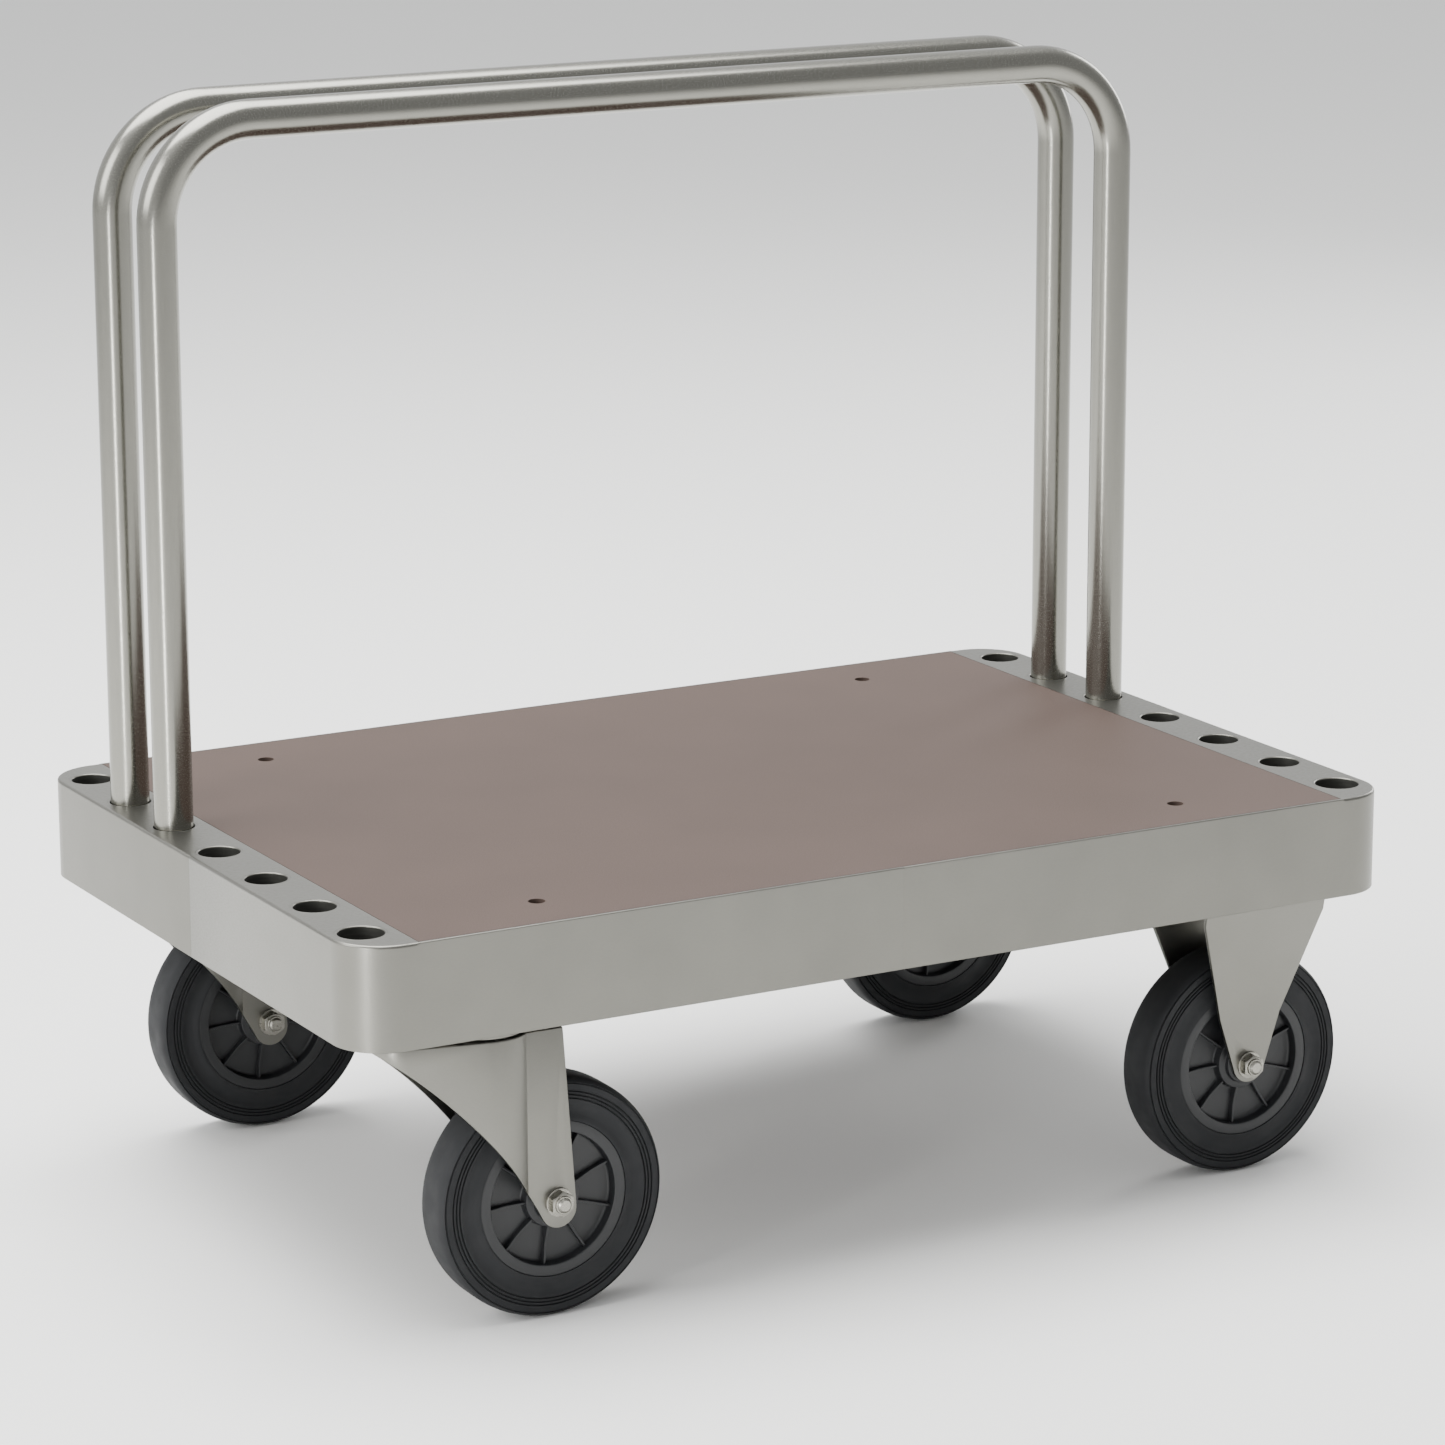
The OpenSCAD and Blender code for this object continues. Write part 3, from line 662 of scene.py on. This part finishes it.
def rim_stations(sizes):
    """Points round the rim's outer outline as (x, y, inward x, inward y, sink, in the flange)."""
    half_l, half_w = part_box("deck_frame")[1].xy
    board_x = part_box("deck_board")[1].x + BOARD_JOINT
    turns, near = 14, 1.5 * MM
    out = []
    for sx, sy in ((1, -1), (1, 1), (-1, 1), (-1, -1)):
        centre = Vector((sx * (half_l - sizes.corner), sy * (half_w - sizes.corner)))
        arc = [math.pi / 2 * i / turns for i in range(turns + 1)]
        on_side = [(sx * board_x, sy * half_w, 0, -sy, 0, True),
                   (sx * (board_x + 2 * near), sy * half_w, 0, -sy, 0, True),
                   (centre.x - sx * near, sy * half_w, 0, -sy, 0, True)]
        bend = [(centre.x + sx * sizes.corner * math.sin(a), centre.y + sy * sizes.corner * math.cos(a),
                 -sx * math.sin(a), -sy * math.cos(a), 0, True) for a in arc]
        on_end = [(sx * half_l, centre.y - sy * near, -sx, 0, 0, True)]
        corner = on_side + bend + on_end
        out += corner if sx * sy < 0 else corner[::-1]
        if (sx, sy) == (1, 1):
            out.append((0, half_w, 0, -1, 0, False))
        if (sx, sy) == (-1, -1):
            out += seam((0, -half_w), (0, 1), sizes, False)
        if (sx, sy) == (-1, 1):
            out += seam((-half_l, 0), (1, 0), sizes, True)
    return out


def seam(spot, inward, sizes, flange):
    """Three stations that press a fine groove into a straight run of the rim."""
    along = Vector((inward[1], -inward[0]))
    wide = 0.6 * MM
    rows = []
    for share, sink in ((-1, 0), (0, sizes.seam), (1, 0)):
        at = Vector(spot) + along * share * wide
        rows.append((at.x, at.y, inward[0], inward[1], sink, flange))
    return rows


def rim_shape(sizes):
    """The folded rim with its two perforated flanges as one closed sheet."""
    low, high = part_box("deck_frame")
    stations = rim_stations(sizes)
    sheet, ease, near = sizes.sheet, 0.4 * MM, 0.6 * MM
    steps = 6
    verts, rings = [], []
    board_x = min(abs(s[0]) for s in stations if s[5])
    for x, y, nx, ny, sink, flange in stations:
        fold = sizes.fold if flange and abs(x) > board_x + MM else 0.9 * MM
        rows = [(sheet, low.z), (ease, low.z), (0, low.z + ease), (0, low.z + ease + near),
                (0, high.z - fold - near)]
        rows += [(fold - fold * math.cos(a), high.z - fold + fold * math.sin(a))
                 for a in (math.pi / 2 * i / steps for i in range(steps + 1))]
        rows += [(sheet, high.z), (sheet, high.z - sheet)]
        ring = []
        for k, (inset, z) in enumerate(rows):
            deep = inset + (sink if 0 < k < len(rows) - 3 else 0)
            ring.append(len(verts))
            verts.append((x + nx * deep, y + ny * deep, z))
        rings.append(ring)
    faces = []
    count, total = len(rings[0]), len(stations)
    for i in range(total):
        j = (i + 1) % total
        inside = stations[i][5] and stations[j][5] and (stations[i][0] > 0) == (stations[j][0] > 0)
        for k in range(count):
            if k == count - 2 and inside:
                continue
            m = (k + 1) % count
            faces.append((rings[i][k], rings[j][k], rings[j][m], rings[i][m]))
    for end in ENDS.values():
        edge = [i for i in range(total) if stations[i][5] and stations[i][0] * end > 0]
        start = next(n for n, i in enumerate(edge) if (i - 1) % total not in edge)
        edge = edge[start:] + edge[:start]
        add_flange(verts, faces, [rings[i][count - 2] for i in edge], [rings[i][count - 1] for i in edge],
                   end, sizes)
    return verts, faces


def add_flange(verts, faces, top_edge, low_edge, end, sizes):
    """Fills one end flange between its top and lower edge loops, with a round hole for each socket."""
    centre_x = end * socket_x()
    turns = 48
    loops = {top_edge[0]: [], low_edge[0]: []}
    for y, bore in socket_places():
        radius = bore + sizes.socket_wall + 0.1 * MM
        pair = []
        for edge in (top_edge, low_edge):
            z = verts[edge[0]][2]
            hole = []
            for i in range(turns):
                angle = math.tau * i / turns
                hole.append(len(verts))
                verts.append((centre_x + radius * math.cos(angle), y + radius * math.sin(angle), z))
            loops[edge[0]].append(hole)
            pair.append(hole)
        faces.extend((pair[0][i], pair[0][(i + 1) % turns], pair[1][(i + 1) % turns], pair[1][i])
                     for i in range(turns))
    for edge in (top_edge, low_edge):
        whole = [edge] + loops[edge[0]]
        flat = [i for loop in whole for i in loop]
        for triangle in tessellate_polygon([[Vector(verts[i]) for i in loop] for loop in whole]):
            faces.append(tuple(flat[i] for i in triangle))
    faces.append((top_edge[0], top_edge[-1], low_edge[-1], low_edge[0]))


def socket_x():
    """Distance of the socket rows from the middle of the deck."""
    return next(m["pos_m"][0] for m in frame["record"]["mounts"] if m["name"] == "socket_right_middle")


def socket_shape(bore, sizes):
    """A socket tube from its foot up to Z 0, with a rounded mouth."""
    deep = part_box("sockets_left")[1].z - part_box("sockets_left")[0].z
    wall = sizes.socket_wall
    outline = [(bore, -deep), (bore + wall, -deep), (bore + wall, 0), (bore, 0)]
    return lathe(fillet(outline, [0.3 * MM, 0.3 * MM, 0.15 * MM, 1.1 * MM], 5), 64)


class TRUCK_OT_deck_frame(bpy.types.Operator):
    """Builds the folded rim with its flanges and seams"""

    bl_idname = "truck.deck_frame"
    bl_label = "Deck frame"

    def execute(self, context):
        rim = settle(raw_object("deck_rim", rim_shape(context.scene.truck_sizes)), 30)
        place(rim, "root", finish("zinc_sheet"), "zinc_sheet", "deck_frame")
        return {"FINISHED"}


class TRUCK_OT_board(bpy.types.Operator):
    """Finishes the inlaid board and its screws"""

    bl_idname = "truck.board"
    bl_label = "Board"

    def execute(self, context):
        recolour("deck_board", "board")
        for node in ("board_screws", "board_nuts"):
            recolour(node, "fastener")
        return {"FINISHED"}


class TRUCK_OT_sockets(bpy.types.Operator):
    """Sets the rows of socket tubes in the end flanges"""

    bl_idname = "truck.sockets"
    bl_label = "Sockets"

    def execute(self, context):
        sizes = context.scene.truck_sizes
        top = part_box("sockets_left")[1].z
        places = socket_places()
        plain = min(bore for y, bore in places)
        pitch = middle("hoop_front").y
        inner = [y for y, bore in places[1:-1]]
        tree = row_tree()
        for name, end in ENDS.items():
            x = end * socket_x()
            template = raw_object("socket_tube", socket_shape(plain, sizes))
            row = grown(f"socket_row_{name}", tree, {
                "Count": len(inner), "Start": (x, inner[0], top), "Pitch": (0, pitch, 0),
                "Finish": finish("frame_steel")}, template)
            dress_socket(row, top)
            place_socket(row, name)
            for label, (y, bore) in (("front", places[0]), ("rear", places[-1])):
                tube = settle(raw_object(f"corner_socket_{name}_{label}", moved(
                    socket_shape(bore, sizes), Matrix.Translation((x, y, top)))))
                dress_socket(tube, top)
                place_socket(tube, name)
            recolour(f"socket_floor_{name}", "frame_steel")
        return {"FINISHED"}


def place_socket(made, end):
    """Puts a socket piece on the deck in place of its CAD node, keeping its two finishes."""
    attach(made, "root")
    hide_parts(f"sockets_{end}")


def dress_socket(made, top):
    """Zinc outside and round the mouth; inside the bore, a near-black finish that paints the shade in the tube."""
    mesh = made.data
    mesh.materials.clear()
    mesh.materials.append(finish("zinc_sheet"))
    mesh.materials.append(finish("bore"))
    places = [y for y, bore in socket_places()]
    for face in mesh.polygons:
        near = min(places, key=lambda y: abs(y - face.center.y))
        axis = Vector((math.copysign(socket_x(), face.center.x), near, face.center.z))
        # faces that look into the bore below the mouth get the near-black painted shade
        if face.center.z < top - 1.0 * MM and (axis - face.center).normalized().dot(face.normal) > 0.5:
            face.material_index = 1


class TRUCK_OT_under_frame(bpy.types.Operator):
    """Rounds and finishes the bearers and ledges under the board"""

    bl_idname = "truck.under_frame"
    bl_label = "Under-frame"

    def execute(self, context):
        for node in ("bearer_left", "bearer_right", "bearer_middle", "ledge_front", "ledge_rear"):
            part = eased(node, node.replace("bearer", "channel").replace("ledge", "angle_strip"), 0.8 * MM)
            place(part, "root", finish("frame_steel"), "frame_steel", node)
        return {"FINISHED"}


# ---------- hoops ----------


def hoop_path(node, radius, bend):
    """Centre line of a hoop as (point, direction, length so far), from the left foot to the right foot."""
    low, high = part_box(node)
    y = (low.y + high.y) / 2
    reach = high.x - radius
    top = high.z - radius
    turns = 20
    points = [(Vector((-reach, y, low.z)), Vector((0, 0, 1)))]
    for side in (-1, 1):
        centre = Vector((side * (reach - bend), y, top - bend))
        arc = []
        for i in range(turns + 1):
            angle = math.pi / 2 * i / turns
            out = Vector((side * math.cos(angle), 0, math.sin(angle)))
            along = Vector((-side * math.sin(angle), 0, math.cos(angle))) * -side
            arc.append((centre + out * bend, along))
        points += arc if side < 0 else arc[::-1]
    points.append((Vector((reach, y, low.z)), Vector((0, 0, -1))))
    run, path = 0.0, []
    for i, (point, along) in enumerate(points):
        run += (point - points[i - 1][0]).length if i else 0
        path.append((point, along, run))
    return path


def hoop_object(name, node, sizes):
    """A bent tube with its wall, open at the feet, and a UV map in metres."""
    radius = (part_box(node)[1].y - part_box(node)[0].y) / 2
    wall, turns, ease = sizes.tube_wall, 56, 0.5 * MM
    path = hoop_path(node, radius, sizes.bend)
    lift = Vector((0, 0, ease))
    first, last = path[0], path[-1]
    rings = [(first[0] + lift, first[1], radius, first[2])]
    rings += [(point, along, radius, run) for point, along, run in path[1:-1]]
    rings += [(last[0] + lift, last[1], radius, last[2]), (last[0], last[1], radius - ease, last[2]),
              (last[0], last[1], radius - wall, last[2])]
    rings += [(point, along, radius - wall, run) for point, along, run in reversed(path[1:-1])]
    rings += [(first[0], first[1], radius - wall, first[2]), (first[0], first[1], radius - ease, first[2])]
    side = Vector((0, 1, 0))
    mesh_rings = []
    for point, along, r, run in rings:
        across = along.cross(side)
        mesh_rings.append([point + (side * math.cos(a) + across * math.sin(a)) * r
                           for a in (math.tau * i / turns for i in range(turns))])
    work = bmesh.new()
    made_verts = [[work.verts.new(p) for p in ring] for ring in mesh_rings]
    map_uv = work.loops.layers.uv.new("UVMap")
    total = len(rings)
    for j in range(total):
        k = (j + 1) % total
        for i in range(turns):
            m = (i + 1) % turns
            face = work.faces.new((made_verts[j][i], made_verts[k][i], made_verts[k][m], made_verts[j][m]))
            spots = ((i, j), (i, k), (i + 1, k), (i + 1, j))
            for loop, (u, v) in zip(face.loops, spots):
                loop[map_uv].uv = (u / turns * math.tau * radius, rings[v][3])
    bmesh.ops.recalc_face_normals(work, faces=work.faces)
    mesh = bpy.data.meshes.new(name)
    work.to_mesh(mesh)
    work.free()
    made = bpy.data.objects.new(name, mesh)
    bpy.context.scene.collection.objects.link(made)
    return settle(made, 40)


class TRUCK_OT_hoops(bpy.types.Operator):
    """Bends the two lift-out tube hoops"""

    bl_idname = "truck.hoops"
    bl_label = "Hoops"

    def execute(self, context):
        for side in SIDES:
            node = f"hoop_{side}"
            hoop = hoop_object(f"{node}_tube", node, context.scene.truck_sizes)
            place(hoop, node, finish("tube"), "tube", node)
        return {"FINISHED"}


# ---------- casters ----------


# a cut edge of a fork has this share of the rounding at a swivel fork's pressed crown
PLAIN_SHARE = 0.25


def plain_share(edge):
    """Share of the rounding on a cut edge."""
    return PLAIN_SHARE


def crown_share(top):
    """A picker that gives the edges at the crown's top the full rounding."""
    def share(edge):
        return 1.0 if min(v.co.z for v in edge.verts) > top - MM else PLAIN_SHARE
    return share


class TRUCK_OT_forks(bpy.types.Operator):
    """Presses the swivel forks, the fixed forks and the swivel plates"""

    bl_idname = "truck.forks"
    bl_label = "Forks and plates"

    def execute(self, context):
        ease = context.scene.truck_sizes.ease
        for side in SIDES:
            for kind in ("swivel", "fixed"):
                node = f"{kind}_fork_{side}"
                share = crown_share(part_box(node)[1].z) if kind == "swivel" else plain_share
                fork = eased(node, f"{kind}_caster_fork_{side}", ease / PLAIN_SHARE, 3, share)
                place(fork, fork_body(kind, side), finish("zinc_sheet"), "zinc_sheet", node)
            node = f"swivel_plate_{side}"
            plate = eased(node, f"swivel_top_plate_{side}", ease * 0.7)
            place(plate, "root", finish("zinc_sheet"), "zinc_sheet", node)
        return {"FINISHED"}


class TRUCK_OT_swivel_heads(bpy.types.Operator):
    """Sets the ball rings, pins and washers of the swivel heads"""

    bl_idname = "truck.swivel_heads"
    bl_label = "Swivel heads"

    def execute(self, context):
        tree = ball_tree()
        for side in SIDES:
            low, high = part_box(f"swivel_balls_{side}")
            ball = (high.z - low.z) / 2
            ring = grown(f"ball_ring_{side}", tree, {
                "Count": BALLS, "Circle radius": (high.x - low.x) / 2 - ball, "Ball radius": ball,
                "Centre": tuple((low + high) / 2), "Finish": finish("bearing_steel")})
            place(ring, "root", finish("bearing_steel"), "bearing_steel", f"swivel_balls_{side}")
            for part in ("pin", "pin_nut", "washer"):
                recolour(f"swivel_{part}_{side}", "fastener")
        return {"FINISHED"}


def tyre_outline(radius, half, seat, groove):
    """Nearly flat tread, a shoulder line, three fine grooves and a hollow side down to the seat."""
    face = half - 2.4 * MM
    shoulder, edge = 4.8 * MM, 3.6 * MM
    side = [(seat + 0.15 * MM, half - 1.5 * MM), (seat + 3 * MM, half - 1.6 * MM),
            (seat + 5 * MM, half - 2.7 * MM), (seat + 10 * MM, half - 3.4 * MM),
            (radius - 21 * MM, half - 3.2 * MM), (radius - 19.6 * MM, face)]
    for i in range(3):
        r = radius - (17.6 - 2.9 * i) * MM
        side += [(r, face), (r + 0.4 * MM, face - groove),
                 (r + 1.3 * MM, face - groove), (r + 1.7 * MM, face)]
    side += [(radius - shoulder - 0.4 * MM, face), (radius - shoulder, face - groove),
             (radius - edge - 0.3 * MM, face - groove)]
    steps = 12
    for i in range(steps):
        share = math.cos(math.pi / 2 * i / steps)
        side.append((radius - edge * share ** 6, (face - 0.6 * MM) * share))
    return side + [(radius, 0)] + [(r, -h) for r, h in reversed(side)]


def centre_outline(seat, half, ring, hub, hub_half, bore, web):
    """Rim ring, web disc and hub of a wheel centre, with moulded fillets."""
    inside = seat - ring
    boss = hub - 6 * MM
    side = [(bore, hub_half), (boss - 2.5 * MM, hub_half), (boss - 2.5 * MM, hub_half - 1 * MM),
            (boss, hub_half - 1.6 * MM), (boss + 0.4 * MM, hub_half - 6 * MM), (hub, hub_half - 6.6 * MM),
            (hub + 1 * MM, web), (inside - 0.5 * MM, web), (inside, half), (seat, half)]
    radii = [0.5, 0.4, 0.2, 0.8, 0.8, 0.8, 1.5, 2.5, 1.0, 0.7]
    outline = side + [(r, -h) for r, h in reversed(side)]
    return fillet(outline, [r * MM for r in radii + radii[::-1]], 3)


def rib_shape(inner, outer, half):
    """One rib from hub to rim along X, drafted thinner towards its free edges and dished in between."""
    foot, tip = 1.5 * MM, 1.0 * MM
    steps = 8
    verts = []
    for i in range(steps + 1):
        share = i / steps
        x = inner + (outer - inner) * share
        high = half * (1 - 0.1 * math.sin(math.pi * share) ** 2)
        verts += [(x, high, tip), (x, 0, foot), (x, -high, tip),
                  (x, -high, -tip), (x, 0, -foot), (x, high, -tip)]
    faces = [(6 * i + k, 6 * i + (k + 1) % 6, 6 * i + 6 + (k + 1) % 6, 6 * i + 6 + k)
             for i in range(steps) for k in range(6)]
    return verts, faces + [tuple(range(5, -1, -1)), tuple(range(6 * steps, 6 * steps + 6))]


ON_AXLE = Matrix.Rotation(math.pi / 2, 4, "X")


class TRUCK_OT_wheels(bpy.types.Operator):
    """Moulds the tyres and the ribbed wheel centres"""

    bl_idname = "truck.wheels"
    bl_label = "Wheels"

    def execute(self, context):
        sizes = context.scene.truck_sizes
        low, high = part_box("fixed_tyre_front")
        radius, half = (high.z - low.z) / 2, (high.y - low.y) / 2 + 1.5 * MM
        low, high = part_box("fixed_centre_front")
        seat, hub_half = (high.z - low.z) / 2, (high.y - low.y) / 2
        low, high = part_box("fixed_bush_front")
        bore = (high.z - low.z) / 2
        tyre = settle(raw_object("tyre_mould", moved(
            lathe(tyre_outline(radius, half, seat, sizes.groove), 128), ON_AXLE)), 35)
        body = settle(raw_object("centre_mould", moved(lathe(centre_outline(
            seat, half - 2 * MM, sizes.ring, sizes.hub, hub_half, bore, sizes.web), 96), ON_AXLE)), 35)
        rib = raw_object("rib", rib_shape(sizes.hub - 1 * MM, seat - sizes.ring + 1 * MM, half - 6 * MM))
        soften = rib.modifiers.new("ease", "BEVEL")
        soften.width = 0.5 * MM
        soften.segments = 2
        settle(rib)
        ribs = grown("ribs", ring_tree(), {
            "Count": sizes.ribs, "First angle": math.radians(17), "Finish": finish("wheel_plastic")}, rib)
        core = bmesh.new()
        core.from_mesh(body.data)
        core.from_mesh(ribs.data)
        core.to_mesh(body.data)
        core.free()
        bush = settle(raw_object("bush_blank", moved(lathe(fillet(
            [(BUSH_BORE_R, -hub_half), (bore - BUSH_GAP, -hub_half), (bore - BUSH_GAP, hub_half),
             (BUSH_BORE_R, hub_half)], 0.5 * MM, 2), 48), ON_AXLE)))
        for (kind, side), spot in axle_places().items():
            body_name = wheel_body(kind, side)
            for source, part, slot in ((tyre, "tyre", "tyre"), (body, "centre", "wheel_plastic"),
                                       (bush, "bush", "bearing_steel")):
                piece = copied(source, f"{kind}_wheel_{part}_{side}", spot)
                place(piece, body_name, finish(slot), slot, f"{kind}_{part}_{side}")
        for blank in (tyre, body, bush, ribs):
            bpy.data.objects.remove(blank)
        return {"FINISHED"}


# ---------- fasteners ----------


def axle_bolt_shape(half, tip):
    """Axle bolt along Z: washer and head beyond -half, thread end at tip."""
    under = -half - AXLE_WASHER_T
    head = moved(hexagon(AXLE_FLATS, AXLE_HEAD), Matrix.Translation((0, 0, -under)))
    turned = moved(head, Matrix.Rotation(math.pi, 4, "X"))
    return joined(turned, washer(AXLE_R, AXLE_WASHER_R, under, -half), thread(AXLE_R, under, tip))


def axle_nut_shape(half, high):
    """Washer and lock nut with its collar, standing on a fork leg at half."""
    seat = half + AXLE_WASHER_T
    nut = moved(hexagon(AXLE_FLATS, high - seat - 2 * MM, AXLE_R), Matrix.Translation((0, 0, seat)))
    collar = lathe(fillet([(AXLE_R, high - 3 * MM), (AXLE_FLATS * 0.42, high - 3 * MM),
                           (AXLE_FLATS * 0.4, high), (AXLE_R, high)], 0.6 * MM, 3), 48)
    return joined(washer(AXLE_R, AXLE_WASHER_R, half, seat), nut, collar)


class TRUCK_OT_fasteners(bpy.types.Operator):
    """Makes the axle bolts, lock nuts and caster bolts, and finishes the spacers"""

    bl_idname = "truck.fasteners"
    bl_label = "Fasteners"

    def execute(self, context):
        for (kind, side), spot in axle_places().items():
            body = fork_body(kind, side)
            low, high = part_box(f"{kind}_axle_nut_{side}")
            half = spot.y - high.y
            nut_top = spot.y - low.y
            tip = spot.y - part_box(f"{kind}_axle_{side}")[0].y
            bolt = settle(raw_object(f"{kind}_axle_bolt_{side}", moved(
                axle_bolt_shape(half, tip), Matrix.Translation(spot) @ ON_AXLE)))
            place(bolt, body, finish("fastener"), "fastener", f"{kind}_axle_{side}")
            nut = settle(raw_object(f"{kind}_lock_nut_{side}", moved(
                axle_nut_shape(half, nut_top), Matrix.Translation(spot) @ ON_AXLE)))
            place(nut, body, finish("fastener"), "fastener", f"{kind}_axle_nut_{side}")
            recolour(f"{kind}_spacers_{side}", "fastener")
        self.plate_bolts()
        return {"FINISHED"}

    def plate_bolts(self):
        """Four bolts with nuts through each caster plate."""
        tree = corner_tree()
        low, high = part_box("caster_bolts")
        nut_low, nut_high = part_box("caster_nuts")
        swivel = next(Vector(j["pos_m"]) for j in frame["joints"] if j["name"] == "swivel_front_turn")
        fixed = axle_places()["fixed", "front"]
        under = low.z + PLATE_BOLT_HEAD
        for kind, centre, spread in (("swivel", swivel, SWIVEL_HOLES), ("fixed", fixed, FIXED_HOLES)):
            span = {"Centre": (centre.x, centre.y, 0), "Across": (0, -2 * centre.y, 0),
                    "Length": spread[0], "Width": spread[1], "Finish": finish("fastener")}
            cap = moved(hexagon(PLATE_BOLT_FLATS, PLATE_BOLT_HEAD), Matrix.Rotation(math.pi, 4, "X"))
            bolt = joined(moved(cap, Matrix.Translation((0, 0, under))),
                          thread(PLATE_BOLT_R, under, high.z))
            bolts = grown(f"{kind}_plate_bolts", tree, span, raw_object("plate_bolt", bolt))
            place(bolts, "root", finish("fastener"), "fastener", "caster_bolts")
            nut = moved(hexagon(PLATE_BOLT_FLATS, nut_high.z - nut_low.z, PLATE_BOLT_R, True),
                        Matrix.Translation((0, 0, nut_low.z)))
            nuts = grown(f"{kind}_plate_nuts", tree, span, raw_object("plate_nut", nut))
            place(nuts, "root", finish("fastener"), "fastener", "caster_nuts")


# ---------- studio ----------


def softbox(name, spot, aim, size, power):
    """A square area light at spot that faces aim."""
    lamp = bpy.data.lights.new(name, "AREA")
    lamp.shape = "RECTANGLE"
    lamp.size, lamp.size_y = size
    lamp.energy = power
    made = bpy.data.objects.new(name, lamp)
    made.location = spot
    made.rotation_euler = (Vector(aim) - Vector(spot)).to_track_quat("-Z", "Y").to_euler()
    bpy.context.scene.collection.objects.link(made)


class TRUCK_OT_stage(bpy.types.Operator):
    """Sets up the camera, the floor and the soft lights"""

    bl_idname = "truck.stage"
    bl_label = "Studio"

    def execute(self, context):
        self.camera()
        size = 60.0
        floor = raw_object("studio_floor", ([(-size, -size, 0), (size, -size, 0), (size, size, 0),
                                             (-size, size, 0)], [(0, 1, 2, 3)]))
        floor.data.materials.append(finish("floor"))
        world = bpy.data.worlds.new("studio")
        world.use_nodes = True
        self.sky(world.node_tree)
        context.scene.world = world
        softbox("top_softbox", (-0.4, 0.8, 4.2), (0, 0, 0.3), (4.0, 4.0), 460)
        softbox("left_softbox", (-4.0, 0.4, 2.4), (0, 0, 0.4), (2.4, 2.4), 110)
        softbox("right_softbox", (4.2, 2.0, 2.0), (0, 0, 0.4), (1.2, 2.6), 70)
        softbox("corner_strip", (-1.65, -1.0, 0.35), (-0.45, -0.3, 0.3), (0.12, 0.7), 9)
        return {"FINISHED"}

    def sky(self, tree):
        """White all round but dimmer to the front right, so that bent metal has a light and a dark side."""
        toward = add(tree, "ShaderNodeTexCoord")
        facing = add(tree, "ShaderNodeVectorMath", {"operation": "DOT_PRODUCT", 1: (0.45, -0.87, 0.2)},
                     {0: toward.outputs["Generated"]})
        light = add(tree, "ShaderNodeMapRange",
                    {"From Min": -0.1, "From Max": 0.7, "To Min": 1.25, "To Max": 0.6},
                    {"Value": facing.outputs["Value"]})
        white = tree.nodes["Background"]
        white.inputs["Color"].default_value = linear("F6F7F8")
        tree.links.new(light.outputs["Result"], white.inputs["Strength"])

    def camera(self):
        """A long lens in front and to the left, looking down a little."""
        turn, dip, roll = (math.radians(a) for a in (29.156, 13.974, -0.127))
        lens = bpy.data.cameras.new("camera")
        lens.sensor_width = 36
        lens.lens = 128.18
        lens.clip_end = 200
        made = bpy.data.objects.new("camera", lens)
        made.matrix_world = (
            Matrix.Translation((-2.1253, -3.82748, 1.48448)) @ Matrix.Rotation(-turn, 4, "Z")
            @ Matrix.Rotation(math.pi / 2 - dip, 4, "X") @ Matrix.Rotation(roll, 4, "Z"))
        bpy.context.scene.collection.objects.link(made)
        bpy.context.scene.camera = made


# ---------- panel and registration ----------

STEPS = (TRUCK_OT_stage, TRUCK_OT_deck_frame, TRUCK_OT_board, TRUCK_OT_sockets, TRUCK_OT_under_frame,
         TRUCK_OT_hoops, TRUCK_OT_forks, TRUCK_OT_swivel_heads, TRUCK_OT_wheels, TRUCK_OT_fasteners)


class TRUCK_PT_panel(bpy.types.Panel):
    """Lists the truck's building steps, sizes and colours"""

    bl_idname = "TRUCK_PT_panel"
    bl_label = "Platform truck"
    bl_space_type = "VIEW_3D"
    bl_region_type = "UI"
    bl_category = "Truck"

    def draw(self, context):
        for group in (context.scene.truck_sizes, context.scene.truck_colours):
            box = self.layout.box()
            for key in group.bl_rna.properties.keys():
                if key not in ("rna_type", "name"):
                    box.prop(group, key)
        for step in STEPS:
            self.layout.operator(step.bl_idname)


CLASSES = (TruckSizes, TruckColours, *STEPS, TRUCK_PT_panel)


def register():
    """Registers the classes and puts the property groups on the scene."""
    for kind in CLASSES:
        bpy.utils.register_class(kind)
    bpy.types.Scene.truck_sizes = bpy.props.PointerProperty(type=TruckSizes)
    bpy.types.Scene.truck_colours = bpy.props.PointerProperty(type=TruckColours)


def unregister():
    """Takes the property groups and the classes away again."""
    del bpy.types.Scene.truck_sizes
    del bpy.types.Scene.truck_colours
    for kind in reversed(CLASSES):
        bpy.utils.unregister_class(kind)


def main():
    """Builds the whole truck."""
    register()
    for step in STEPS:
        group, action = step.bl_idname.split(".")
        getattr(getattr(bpy.ops, group), action)()


if __name__ == "__main__":
    main()
